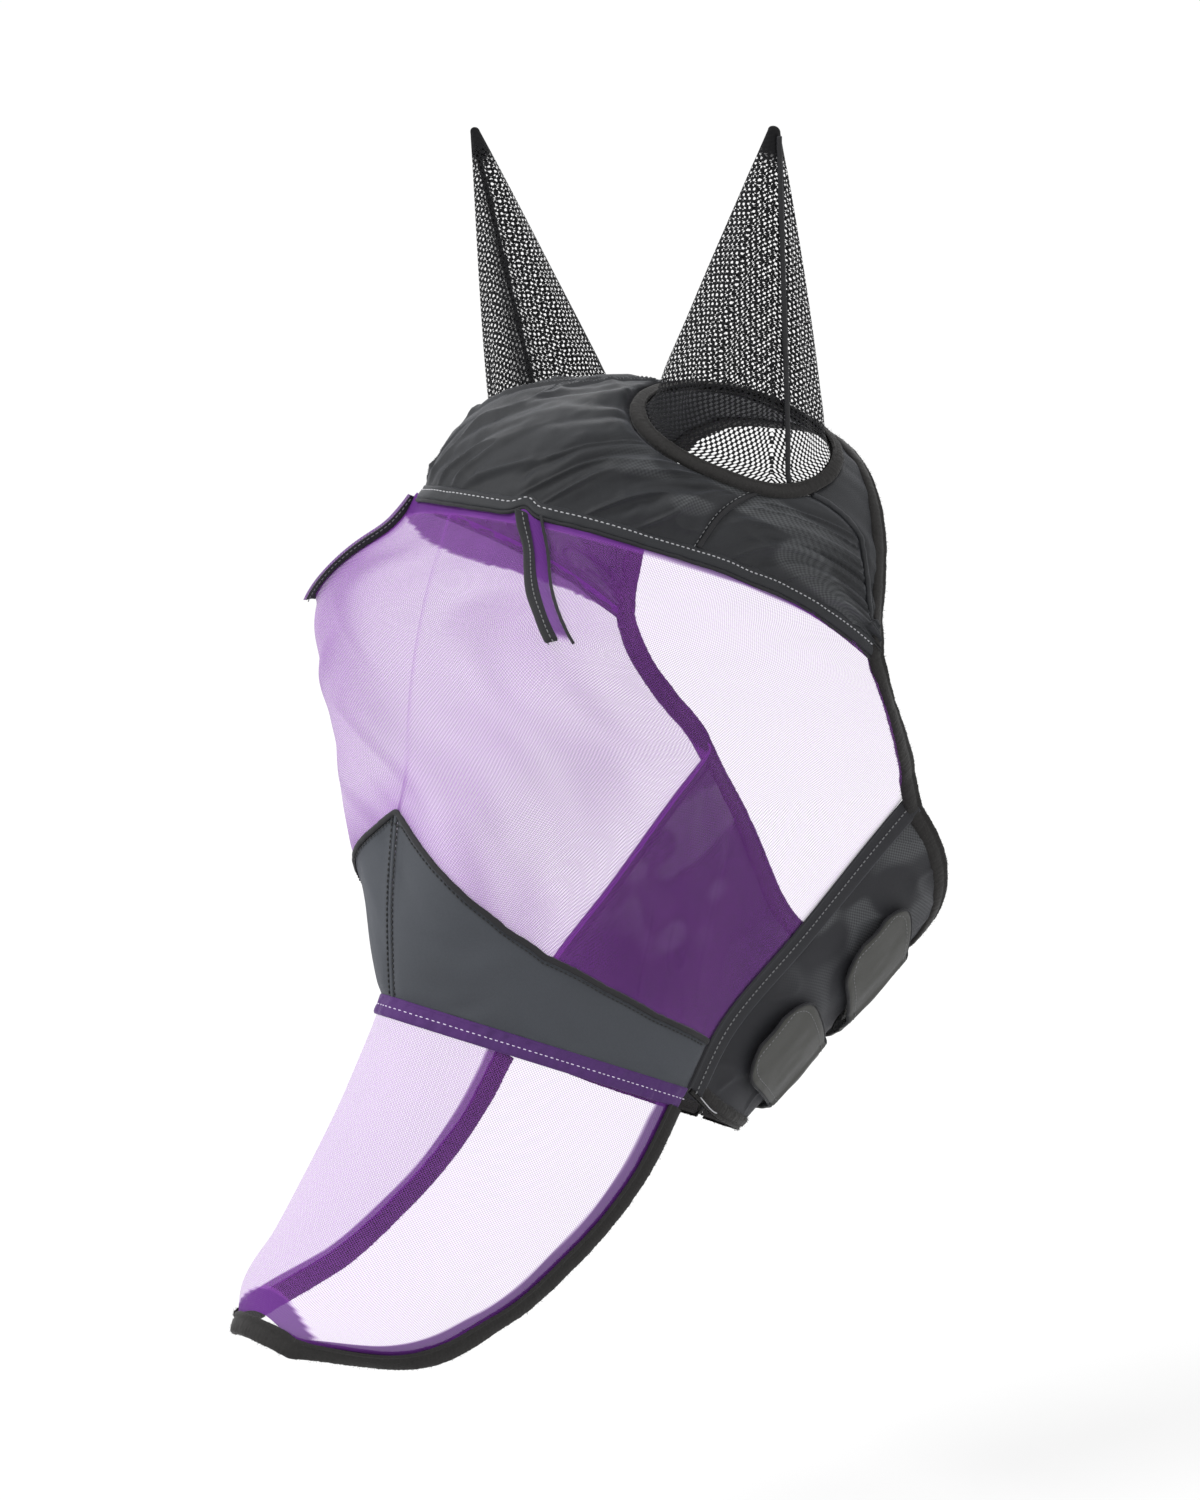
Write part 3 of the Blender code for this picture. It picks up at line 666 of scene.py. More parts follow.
def from_edges(flat):
    """Each grid point's distances from its panel's edges, in millimetres: down and across."""
    rows, columns = flat.shape[:2]
    steps = np.linalg.norm(np.diff(flat, axis=0), axis=2)
    down = np.concatenate([np.zeros((1, columns)), np.cumsum(steps, 0)])
    steps = np.linalg.norm(np.diff(flat, axis=1), axis=2)
    over = np.concatenate([np.zeros((rows, 1)), np.cumsum(steps, 1)], 1)
    return np.minimum(down, down[-1:] - down), np.minimum(over, over[:, -1:] - over)


def panel(skin, low, high, ends, rows, columns, soft, margin=None):
    """A cloth panel: its grid as lay gives it, the distances from its edges, and a share that
    falls to 0 at them over soft millimetres, down and across."""
    grid = lay(skin, low, high, ends, rows, columns, margin)
    down_edge, over_edge = from_edges(grid[-1])
    fade = ease(down_edge / soft[0]) * ease(over_edge / soft[1])
    return *grid, down_edge, over_edge, fade


def area_of(points):
    a, b = points[1:, 1:] - points[:-1, :-1], points[1:, :-1] - points[:-1, 1:]
    return float(np.linalg.norm(np.cross(a, b), axis=-1).sum() / 2) * MM * MM


def cut(flat, points):
    """Works out the size of a sheet of cloth from its flat cut; nothing is kept."""
    spread = flat.reshape(-1, 2).max(0) - flat.reshape(-1, 2).min(0)
    wide, long = (float(x) * MM for x in spread)
    area = min(area_of(points), wide * long)
    long = min(long, area / (0.4 * wide))


noseband_edge = limit(lambda t: np.interp(np.abs(t), *np.array(NOSEBAND_TOP).T))


def face_margin(v):
    return np.interp(v, (0.62, 0.70), (BINDING_ROOM - 8.0, 0.6))


# Face mesh.
low = limit(lambda t: face.slide(0, t, 1.2))
high = limit(lambda t: face.slide(noseband_edge(t), t, 0.6))
v, t, p, n, flat, down_edge, over_edge, fade = panel(
    face, low, high, (-1, 1), 150, 330, (14, 16), face_margin)
u, d = flat[..., 0], flat[..., 1]
# Soft rolls hang from the brow and over the eyes, with a pressed crease down the middle.
roll = 1.6 * noise(u / 46 + 3, d / 95, 11) + 0.9 * noise(u / 19, d / 70 + 5, 12)
far = ease((-t - 0.10) / 0.12) * ease((0.46 + t) / 0.10)
ripple = noise((u + 0.5 * d) / 15, d / 60, 21)
roll = roll + far * (2.6 * ripple * ease((0.75 - v) / 0.3))
middle = 1.5 * noise(d / 60, 0.3, 15)
crease = bump_at(u, middle, 1.4)
# The cloth is drawn up into the two darts.
dart_t = between(DART_START, DART_END, v / DART_DEPTH)
off_dart = (np.abs(t) - dart_t) / face.across(v, 1.0)
drawn = bump_at(off_dart, 0, 6.5) * ease((DART_DEPTH + 0.012 - v) / 0.03)
p = p + n * (roll * fade + 1.5 * crease * fade + drawn * np.where(t < 0, 3.6, 1.6))[..., None]
# The seam allowance shows as a dark strip, deepest over the right eye.
allowance = 9.5 + 17.0 * bump_at(t, -0.52, 0.30) + 1.2 * noise(u / 3.5, 0.3, 16) * (t < -0.2)
hem = 0.9 * ease((allowance - down_edge) / 2.0) * (v < 0.3) + 0.8 * np.exp(-over_edge / 2.5)
hem = hem + 0.5 * np.exp(-down_edge / 2.5) * (v >= 0.3)
# Painted shade: the mesh is drawn deeper in colour over the far side and just above the noseband,
# towards the middle, around its bright centre.
edge_shade = 0.20 * ease((-t - 0.02) / 0.40) * ease((1.05 + t) / 0.3)
edge_shade = edge_shade * (1 + 0.5 * noise(u / 22, d / 50, 22))
above_band = ease(1 - np.abs(v - noseband_edge(t)) / 0.13)
edge_shade = edge_shade + 0.26 * above_band * ease((0.55 - np.abs(t)) / 0.3)
density_and_painted_light = np.clip(hem + 0.45 * bump_at(u, middle, 0.9)
                + 0.22 * far * np.clip(ripple, 0, 1)
                + 0.10 * far + 0.55 * drawn * (t < 0) + edge_shade
                + 0.9 * ease((6.0 - np.abs(off_dart - 4.0)) / 2.0) * (t > 0)
                * ease((DART_DEPTH - v) / 0.02), 0, 0.92)
face_cloth = fit(single("face_mesh_cloth", p, flat, purple_net, density_and_painted_light), "purple_mesh", "face_mesh")
face_flat, face_points = flat, p

# Nose mesh.
def nose_margin(v):
    return np.interp(v, (0.70, 0.95), (BINDING_ROOM - 8.0, BINDING_ROOM + 1.0))


low = limit(lambda t: nose.slide(0, t, HEM_WIDE - 1.5))
high = limit(lambda t: nose.slide(1, t, -BINDING_ROOM + 2))
v, t, p, n, flat, down_edge, over_edge, fade = panel(
    nose, low, high, (-1, 1), 120, 240, (14, 16), nose_margin)
u, d = flat[..., 0], flat[..., 1]
roll = 1.8 * noise(u / 40 + 9, d / 90, 31) + 0.8 * noise(u / 17, d / 60, 32)
p = p + n * (roll * fade)[..., None]
edge = np.minimum(over_edge, down_edge + 40 * (v < 0.5))
density_and_painted_light = np.clip(0.9 * ease((15.5 - edge) / 2.0), 0, 0.9)
nose_cloth = fit(single("nose_mesh_cloth", p, flat, purple_net, density_and_painted_light), "purple_mesh", "nose_mesh")
nose_flat, nose_points = flat, p

# Noseband halves, meeting in a seam down the middle.
low = limit(lambda t: face.slide(noseband_edge(t), t, 0.8))
high = limit(lambda t: face.slide(1, t, -0.3))
for side, sign in SIDES.items():
    ends = (0.004 * sign, 0.985 * sign)
    *_, p, n, flat, _, _, fade = panel(face, low, high, ends, 40, 110, (10, 8))
    u, d = flat[..., 0], flat[..., 1]
    roll = 1.5 * noise(u / 38 + 2, d / 40, 41) + 0.8 * noise((u - d) / 14, (u + d) / 36, 42)
    if sign > 0:
        p, n, flat, roll, fade = (x[:, ::-1] for x in (p, n, flat, roll, fade))
    p = p + n * (roll * fade)[..., None]
    obj = folded(f"noseband_{side}_cloth", p, n, BAND_THICK, flat, band_weave)
    fit(obj, "noseband_cloth", f"noseband_{side}")
    cut(flat, p)

# Narrow binding on the noseband's upper edge, the middle seam, and their stitches.
seam_v = np.linspace(0.665, 0.995, 80)
t = np.linspace(-0.975, 0.975, 260)
v = noseband_edge(t)
path, tops = face.at(v, t), face.normal(v, t)
fit(tube("noseband_edge_roll", path, tops, 1.9, 1.3, tape_weave, lift=1.1), "black_tape",
    "noseband_top_binding")
fit(tube("noseband_middle_seam", face.at(seam_v, 0 * seam_v), face.normal(seam_v, 0 * seam_v), 1.3,
         0.9, band_weave, lift=0.5), "noseband_cloth")
v = face.slide(noseband_edge(t[::4]), t[::4], 3.4)
fit(stitches("noseband_stitches", face.at(v, t[::4]), face.normal(v, t[::4]), black_thread,
             lift=1.5), "black_tape")
for side, sign in SIDES.items():
    v = np.linspace(0.675, 0.985, 30)
    fit(stitches(f"noseband_seam_{side}", face.at(v, sign * face.across(v, 2.6)),
                 face.normal(v, 0 * v), black_thread, lift=1.2), "black_tape")

# Folded purple hem where the nose cover joins the noseband.
t = np.linspace(-0.985, 0.985, 300)[None, :]
rows = np.linspace(-2.2, HEM_WIDE, 14)[:, None]
v_nose = np.stack([limit(lambda t: nose.slide(0, t, max(r, 0)))(t[0]) for r in rows[:, 0]])
p, n = nose.at(v_nose, t + 0 * v_nose), nose.normal(v_nose, t + 0 * v_nose)
v_face = np.stack([limit(lambda t: face.slide(1, t, min(r, 0)))(t[0]) for r in rows[:, 0]])
over = (rows < 0)[..., None]
p = np.where(over, face.at(v_face, t + 0 * v_face), p)
n = unit(n + np.where(over, face.normal(v_face, t + 0 * v_face), n))
around = t * 240
pucker = 0.55 * noise(around / 5.5, rows / 7, 51) + 0.5 * noise(around / 2.6, rows / 4, 52)
p = p + n * (pucker * ease((rows + 3) / 3) - 0.35 * bump_at(rows, 4.6, 1.0))[..., None]
flat = np.stack(np.broadcast_arrays(around, rows), -1)
obj = folded("nose_hem_cloth", p, n, 2.0, flat, purple_cloth, lift=1.0, roll=1.6)
fit(obj, "purple_hem", "nose_hem")
k = 7
fit(stitches("nose_hem_stitches", p[k], n[k], violet_thread, pitch=3.4, long=2.0, thick=0.36,
             lift=2.0), "purple_hem")


# ---------------------------------------------------------------- crown

def ear_ring(angle, share=1.0, sign=1):
    return (EAR_V[sign] + share * EAR_HALF_V * np.cos(angle),
            sign * (EAR_T[sign] + share * EAR_HALF_T * np.sin(angle)))


def by_side(values, t):
    """The value of the side that t is on."""
    return np.where(np.asarray(t) < 0, values[-1], values[1])


def foot(t):
    """How far round the arch the ear opening reaches, on the side that t is on."""
    return by_side(EAR_T, t) + EAR_HALF_T * RING_ROOM


def ring_v(t, way):
    q = np.clip((np.abs(t) - by_side(EAR_T, t)) / (EAR_HALF_T * RING_ROOM), -1, 1)
    return by_side(EAR_V, t) + way * EAR_HALF_V * RING_ROOM * np.sqrt(1 - q**2)


def rear_seam(t):
    strip = REAR_STRIP * np.clip((POLL_END - np.abs(t)) / 0.30, 0, 1)
    low = crown.slide(1, t, -(BINDING_ROOM + SEAM_GAP + strip))
    return between(by_side(EAR_V, t), low, np.clip((np.abs(t) - foot(t)) / 0.14, 0, 1))


front_top = limit(lambda t: np.minimum(ring_v(t, -1), crown.slide(POLL_SEAM, t, -0.2)))
poll_low = limit(lambda t: np.where(
    np.abs(t) < foot(t), np.maximum(ring_v(t, 1), crown.slide(POLL_SEAM, t, 0.2)),
    crown.slide(rear_seam(t), t, 0.2)))
poll_high = limit(lambda t: crown.slide(1, t, -BINDING_ROOM + 8))
side_high = limit(lambda t: np.where(
    np.abs(t) < foot(t), np.minimum(ring_v(t, -1), by_side(EAR_V, t)),
    crown.slide(rear_seam(t), t, -0.2)))
side_end = limit(lambda t: np.where(np.abs(t) > POLL_END, poll_high(t), side_high(t)))
brow_low = limit(lambda t: crown.slide(0, t, 1.0))


def crown_folds(u, d):
    """Loose folds that run from the brow seam up towards the ears."""
    lean = u - 0.9 * d
    bent = lean + 6 * noise(u / 40, d / 28, 66)
    soft = 2.4 * noise(bent / 24 + 4, d / 60, 61) + 1.6 * noise(bent / 10, d / 42, 62)
    ridge = 1 - np.abs(noise(bent / 15, d / 60, 63)) * 3.4
    second = 1 - np.abs(noise((u - 0.3 * d) / 22 + 7, d / 34, 67)) * 4.5
    sharp = 3.0 * np.clip(ridge, 0, 1) ** 1.5 + 1.5 * np.clip(second, 0, 1) ** 1.4
    fine = 0.45 * noise(u / 5, d / 7, 64)
    return soft + sharp + fine


def from_ear(v, t):
    """Distance from the middle of the ear opening on t's side, as a share of its size."""
    return np.hypot((v - by_side(EAR_V, t)) / EAR_HALF_V,
                    (np.abs(t) - by_side(EAR_T, t)) / EAR_HALF_T)


def painted_sheen(v, t, u, d):
    """Where painted grey sheen lies: patches below and behind each ear opening."""
    spots = ease((noise(u / 26, d / 13, 68) + 0.25) / 0.4)
    return 0.75 * bump_at(from_ear(v, t), 1.42, 0.42) * spots * ease((np.abs(t) - 0.2) / 0.2)


def sink(v, t):
    """How far the crown's cloth moves under the ear ring: pressed down on the left."""
    return by_side({1: -2.0, -1: 0.3}, t) * ease((1.13 - from_ear(v, t)) / 0.07)


# Front panel, puffed out a little above the brow seam.
v, t, p, n, flat, down_edge, over_edge, fade = panel(
    crown, brow_low, front_top, (-SIDE_SEAM, SIDE_SEAM), 110, 330, (12, 9))
u, d = flat[..., 0], flat[..., 1]
puff = 2.4 * ease(down_edge / 16)
p = p + n * (crown_folds(u, d) * fade + puff * ease(over_edge / 9) + sink(v, t)
             - 0.8 * ease(1 - down_edge / 3))[..., None]
# Painted sheen: pale grey hatched patches below the ear opening.
obj = fit(folded("crown_front_cloth", p, n, CROWN_THICK, flat, crown_weave,
                 density_and_painted_light=painted_sheen(v, t, u, d)), "crown_cloth", "crown_front_panel")
cut(flat, p)

# Poll panel, behind the ears.
v, t, p, n, flat, _, _, fade = panel(
    crown, poll_low, poll_high, (-POLL_END, POLL_END), 60, 420, (9, 9))
u, d = flat[..., 0], flat[..., 1]
roll = 1.2 * noise(u / 26, d / 24, 71) + 0.8 * noise(u / 11, d / 16, 72)
p = p + n * (roll * fade + sink(v, t))[..., None]
obj = fit(folded("crown_poll_cloth", p, n, CROWN_THICK, flat, crown_weave), "crown_cloth",
          "crown_poll_panel")
cut(flat, p)

# Side panels, behind the seams that run down from the ears.
for side, sign in SIDES.items():
    ends = (sign * (SIDE_SEAM + 0.002), sign * SIDE_PANEL_END)
    if sign > 0:
        ends = ends[::-1]
    v, t, p, n, flat, _, _, fade = panel(crown, brow_low, side_end, ends, 110, 130, (9, 9))
    u, d = flat[..., 0], flat[..., 1]
    p = p + n * (0.6 * crown_folds(u * 1.3, d) * fade + sink(v, t) * (np.abs(t) < 0.6)
                 + 1.2 * fade)[..., None]
    # Painted sheen: pale grey hatching below and behind the ear opening, and along the grey inset
    # band near the rear seam.
    inset = bump_at(v, 0.30 - 0.35 * (np.abs(t) - 0.72), 0.12) * ease((np.abs(t) - 0.62) / 0.05)
    sheen_share = np.maximum(painted_sheen(v, t, u, d), 0.55 * ease(inset / 0.25))
    obj = fit(folded(f"crown_side_cloth_{side}", p, n, CROWN_THICK, flat, crown_weave,
                     density_and_painted_light=sheen_share), "crown_cloth", f"crown_side_panel_{side}")
    cut(flat, p)

# Brow binding: a folded tape over the seam, drawn up in a notch above the near eye's dart.
t = np.linspace(-0.976, 0.976, 520)
rows = np.linspace(-4.6, 4.4, 12)[:, None]
notch = 5.0 * bump_at(t, DART_START, 0.018) + 3.0 * bump_at(t, -DART_START, 0.014)
base, tops = face.at(0 * t, t), unit(face.normal(0 * t, t) + crown.normal(0 * t, t))
along, side_way, up = frames(base, tops)
if side_way[260] @ (crown.at(0.1, 0.0) - crown.at(0.0, 0.0)) < 0:
    side_way = -side_way
u = t * 300
wander = 0.8 * noise(u / 21, 0.4, 81) + notch
tape = (base[None] + side_way[None] * (rows + wander[None])[..., None]
        + up[None] * (1.9 + 0.5 * noise(u / 7, rows / 4, 82) - 0.5 * (rows / 4.5) ** 2
                      - 0.45 * bump_at(rows, 1.0, 0.7))[..., None])
flat = np.stack(np.broadcast_arrays(u[None], rows), -1)
ups = np.broadcast_to(up[None], tape.shape)
fit(folded("brow_tape", tape, ups, 1.7, flat, crown_weave, roll=1.5), "black_tape", "brow_binding")
fit(stitches("brow_stitches", tape[7], up, white_thread, pitch=3.3, long=2.1, thick=0.40,
             lift=0.95), "black_tape")
fit(tube("brow_piping", tape[0] - side_way * 0.9, up, 1.1, 1.1, tape_weave, lift=-0.4),
    "black_tape")

# Vertical seams beside the ears.
for side, sign in SIDES.items():
    v = np.linspace(0.035, float(ring_v(sign * SIDE_SEAM, -1)) - 0.005, 70)
    tt = sign * SIDE_SEAM + 0 * v
    fit(tube(f"crown_seam_{side}", crown.at(v, tt), crown.normal(v, tt), 1.6, 1.2, tape_weave,
             lift=1.5), "black_tape")
    off = crown.across(v, 2.4)
    fit(stitches(f"crown_seam_stitches_{side}", crown.at(v, tt - sign * off),
                 crown.normal(v, tt), grey_thread, lift=1.4, thick=0.35), "black_tape")
    # Piped seam between the side and poll panels.
    tt = sign * np.linspace(foot(sign) + 0.01, POLL_END, 120)
    v = limit(rear_seam)(tt)
    fit(tube(f"rear_seam_piping_{side}", crown.at(v, tt), crown.normal(v, tt), 1.9, 1.7, crown_weave,
             lift=1.6, uneven=0.2), "black_tape")


# ---------------------------------------------------------------- ears

for side, sign in SIDES.items():
    angle = np.linspace(0, TURN, 181)[:-1]
    v, t = ear_ring(angle, 1.0, sign)
    fit_binding(f"ear_ring_{side}", f"ear_opening_binding_{side}", crown.at(v, t),
                crown.normal(v, t), 4.3, 2.7, 1, 100 + sign, closed=True, lip=0.9,
                lift=EAR_RING_LIFT[side])
    coarse = np.linspace(0, TURN, 29)[:-1]
    heart = crown.at(*ear_ring(coarse, EAR_CONE_SHARE, sign)).mean(0)
    tip = np.array(EAR_TIPS[side], float)
    k = np.linspace(0, 1, 130)
    share = EAR_CONE_SHARE + 0.05 * ease(1 - k / 0.05)
    rings = np.empty((len(k), len(angle), 3))
    for i, (step, s) in enumerate(zip(k, share)):
        base = crown.at(*ear_ring(angle, s, sign))
        narrow = 1 - (1 - EAR_SHRINK) * step**1.06
        rings[i] = heart + (tip - heart) * step + (base - heart) * narrow
    centre = rings.mean(1, keepdims=True)
    spoke = rings - centre
    seam = int(np.argmax(sign * rings[0, :, 0]))
    around = angle - angle[seam]
    fold = (np.cos(5 * around + 0.6)[None] * 0.035 + np.cos(8 * around + 1.9 + 2 * k[:, None]) * 0.030
            + np.cos(13 * around + 0.3 - 3 * k[:, None]) * 0.018)
    fold = fold * ease(k / 0.18)[:, None] * ease((1 - k) / 0.15)[:, None]
    rings = rings + spoke * fold[..., None]
    # The blunt tip closes in a few rounds.
    close = np.linspace(0, 1, 8)[1:]
    last = rings[-1]
    top = last.mean(0)
    upwards = unit(tip - heart) * 3.2
    caps = [top + (last - top) * math.sqrt(max(1 - c * c, 0.0004)) + upwards * c for c in close]
    rings = np.concatenate([rings, np.array(caps)])
    k_all = np.r_[k, np.full(len(close), 1.0)]
    # The cloth laid flat, measured both ways round from the line opposite the seam.
    back = (seam + len(angle) // 2) % len(angle)
    rolled = np.roll(rings, -back, axis=1)
    steps = np.linalg.norm(np.diff(np.concatenate([rolled, rolled[:, :1]], 1), axis=1), axis=2)
    out = np.concatenate([np.zeros((len(rings), 1)), np.cumsum(steps, 1)], 1)[:, :-1]
    full = steps.sum(1, keepdims=True)
    out = np.minimum(out, full - out)
    out = np.roll(out, back, axis=1)
    long = np.linalg.norm(tip - heart)
    flat = np.stack([out, np.broadcast_to((k_all * long)[:, None], out.shape)], -1)
    doubled = 0.8 * bump_at((around + math.pi) % TURN - math.pi, -0.25 * sign, 0.42)[None]
    density_and_painted_light = np.clip(ease((k_all - 0.90) / 0.05)[:, None] + doubled * (sign < 0) + 0 * out, 0, 1)
    obj = make(f"ear_cover_{side}", rings, grid_faces(*rings.shape[:2], wrap=True), ear_net, flat,
               density_and_painted_light)
    bend_top = heart + (tip - heart) * BLEND_SHARE
    fit_bent(obj, "black_ear_mesh", f"ear_{side}", heart, bend_top, f"ear_cone_{side}")
    line = rings[2:131, seam]
    away = unit(line - rings[2:131].mean(1))
    piping = tube(f"ear_piping_{side}", line + away * 1.6, away, 1.5, 1.5, tape_weave)
    fit_bent(piping, "black_tape", f"ear_{side}", heart, bend_top, f"ear_seam_piping_{side}")


# ---------------------------------------------------------------- darts

for side, sign in SIDES.items():
    v = np.linspace(0.012, DART_DEPTH, 90)
    t = sign * between(DART_START, DART_END, v / DART_DEPTH)
    sewn, up = face.at(v, t), face.normal(v, t)
    across = unit(np.cross(unit(np.gradient(sewn, axis=0)), up))
    rise = np.linspace(0, 1, 14)
    share = np.linspace(0, 1, 90)
    less, bent = DART_SHAPE[side]
    tall = (DART_TALL - less) * (0.85 + 0.15 * ease(share / 0.2))
    lean = sign * bent * np.sin(rise * 1.4)[None]
    lean = lean + 0.7 * noise(share[:, None] * 6, rise[None] * 2, 91)
    grid = (sewn[:, None] + up[:, None] * (0.8 + tall[:, None] * rise[None])[..., None]
            + across[:, None] * (lean * rise[None])[..., None])
    normals = np.broadcast_to(across[:, None], grid.shape)
    flat = np.stack(np.broadcast_arrays(tall[:, None] * rise[None], 90 * share[:, None]), -1)
    fit(folded(f"dart_tape_{side}", grid, normals, 2.4, flat, tape_weave, roll=1.2), "black_tape",
        f"forehead_dart_{side}")
    if sign > 0:
        ridge = t + face.across(v, 8.8)
        fit(tube("dart_edge_left", face.at(v, ridge), face.normal(v, ridge), 0.9, 0.9, tape_weave,
                 lift=1.9), "black_tape")
    else:
        # The fold of mesh stands out beyond its tape.
        high = tall[:, None] * np.linspace(0.7, 1.0, 8)[None] + np.linspace(0, 1.5, 8)[None]
        lay_over = -np.linspace(0.6, 1.2, 8)[None] * bent
        fold = (sewn[:, None] + up[:, None] * (0.8 + high)[..., None]
                + across[:, None] * (lay_over + 0 * high)[..., None])
        flat_fold = np.stack(np.broadcast_arrays(high, 90 * share[:, None]), -1)
        fit(folded("dart_fold_right", fold, np.broadcast_to(across[:, None], fold.shape), 0.8,
                   flat_fold, purple_net, roll=0.8, density_and_painted_light=np.full(high.shape, 0.55)), "purple_mesh")
    for letter, way in (("a", 1), ("b", -1)):
        out = normals[3:, 9] * way
        fit(stitches(f"dart_stitches_{side}_{letter}", grid[3:, 9] + out * 1.25, out, grey_thread,
                     lift=0.15, thick=0.35), "black_tape")


# ---------------------------------------------------------------- bindings

v_edge = np.linspace(0.045, 0.97, 90)
t_edge = 1 - nose.across(v_edge, BINDING_HALF)
turn = np.linspace(1, -1, 41)[1:-1]
v_path = np.r_[v_edge, np.full(len(turn), 0.985), v_edge[::-1]]
t_path = np.r_[t_edge, turn * t_edge[-1], -t_edge[::-1]]
fit_binding("nose_edge_fleece", "nose_edge_binding", nose.at(v_path, t_path),
            nose.normal(v_path, t_path), BINDING_HALF, BINDING_THICK, 1, 200)

t_jaw = np.linspace(0.012, 0.94, 90)
v_jaw = limit(lambda t: jaw.slide(0, t, BINDING_HALF))(t_jaw)
v_back = np.linspace(0.60, 0.03, 90)
t_back = 1 - face.across(v_back, BINDING_HALF)
t_crown = np.linspace(0.95, 0, 140)
v_crown = limit(lambda t: crown.slide(1, t, -BINDING_HALF))(t_crown)
path = np.concatenate([jaw.at(v_jaw, t_jaw), face.at(v_back, t_back), crown.at(v_crown, t_crown)])
tops = np.concatenate([jaw.normal(v_jaw, t_jaw), face.normal(v_back, t_back),
                       crown.normal(v_crown, t_crown)])
flip = np.array([-1, 1, 1])
path = np.concatenate([path, path[-2::-1] * flip])
tops = np.concatenate([tops, tops[-2::-1] * flip])
fit_binding("rear_edge_fleece", "rear_binding", path, tops, BINDING_HALF, BINDING_THICK, 1, 300)
for side, sign in SIDES.items():
    t = sign * np.linspace(0.985, 0.02, 90)
    v = limit(lambda t: jaw.slide(1, t, 1.5 - BINDING_HALF))(t)
    fit_binding(f"jaw_front_fleece_{side}", f"jaw_front_binding_{side}", jaw.at(v, t),
                jaw.normal(v, t), BINDING_HALF - 1.5, BINDING_THICK, sign, 400 + sign)

# ---------------------------------------------------------------- jaw bands

low = limit(lambda t: jaw.slide(0, t, BINDING_ROOM - 8))
high = limit(lambda t: jaw.slide(1, t, 8 - BINDING_ROOM))
for side, sign in SIDES.items():
    ends = (sign * 0.008, sign * 0.975)
    if sign < 0:
        ends = ends[::-1]
    v, t, p, n, flat, _, _, fade = panel(jaw, low, high, ends, 110, 140, (14, 12))
    u, d = flat[..., 0], flat[..., 1]
    pull = (u - 0.8 * d) / 17
    roll = 1.8 * noise(u / 34, d / 42, 111) + 1.1 * noise(pull, (u + d) / 50, 112)
    ridge = 1 - np.abs(noise(pull * 0.8, (u + d) / 60, 113)) * 3.5
    roll = roll + 1.3 * np.clip(ridge, 0, 1) ** 1.4
    p = p + n * ((roll - 0.6) * fade)[..., None]
    # Painted sheen: pale grey hatched patches on the upper rear of the band.
    sheen_share = 0.7 * ease((noise(u / 17, d / 24, 114) + 0.15) / 0.5)
    sheen_share = sheen_share * ease((0.62 - v) / 0.2) * ease((np.abs(t) - 0.45) / 0.2)
    obj = fit(folded(f"jaw_cloth_{side}", p, n, BAND_THICK, flat, jaw_weave, density_and_painted_light=sheen_share),
              "crown_cloth", f"jaw_band_{side}")
    cut(flat, p)
    # The hem covers the seam and turns over onto the face mesh.
    v = np.linspace(0.015, 0.985, 200)
    vf = np.interp(v, *JAW_TO_FACE)
    edge = jaw.at(v, sign + 0 * v)
    tip_way = face.at(vf, sign * (1 - face.across(vf, 3.4))) - face.at(vf, sign + 0 * vf)
    rows = [jaw.at(v, sign * x) for x in np.linspace(0.925, 1.0, 9)]
    rows += [edge + tip_way * x for x in (0.33, 0.66, 1.0)]
    grid = np.stack(rows)
    nn = np.broadcast_to(jaw.normal(v, sign * 0.97 + 0 * v)[None], grid.shape)
    span = np.linspace(0, 13, 12)[:, None]
    down = np.r_[0, np.cumsum(np.linalg.norm(np.diff(edge, axis=0), axis=1))]
    flat = np.stack(np.broadcast_arrays(down[None], span), -1)
    if sign < 0:
        grid, nn, flat = grid[::-1], nn[::-1], flat[::-1]
    fit(folded(f"jaw_hem_{side}", grid, nn, 1.6, flat, jaw_weave, lift=1.9, roll=1.5), "crown_cloth",
        f"jaw_band_hem_{side}")
    row = grid[5] if sign > 0 else grid[6]
    fit(stitches(f"jaw_hem_stitches_{side}", row, nn[5], grey_thread, lift=2.8), "black_tape")

# A loose end of sewing thread at the left jaw band's front corner.
k = np.linspace(0, 1, 24)
corner, out_way = jaw.at(0.99, 0.95 - 0.13 * k), jaw.normal(0.99, 0.95 - 0.13 * k)
drop = np.stack([0 * k, 0 * k, -1.5 * np.sin(3 * k)], -1)
corner = corner + out_way * (4.4 + 1.0 * np.sin(3 * k))[:, None] + drop
fit(tube("jaw_loose_thread", corner, out_way, 0.35, 0.35, white_thread, step=0.6, sides=6),
    "black_tape")

# ---------------------------------------------------------------- tabs

def round_flap(grid, first, inset):
    """The rows of a grid that run round a tab's flap, from the fold to the tip and back."""
    side, tip = slice(first, -1 - inset), -1 - inset
    return np.concatenate([grid[inset, side], grid[inset:len(grid) - inset, tip],
                           grid[tip, side][::-1]])


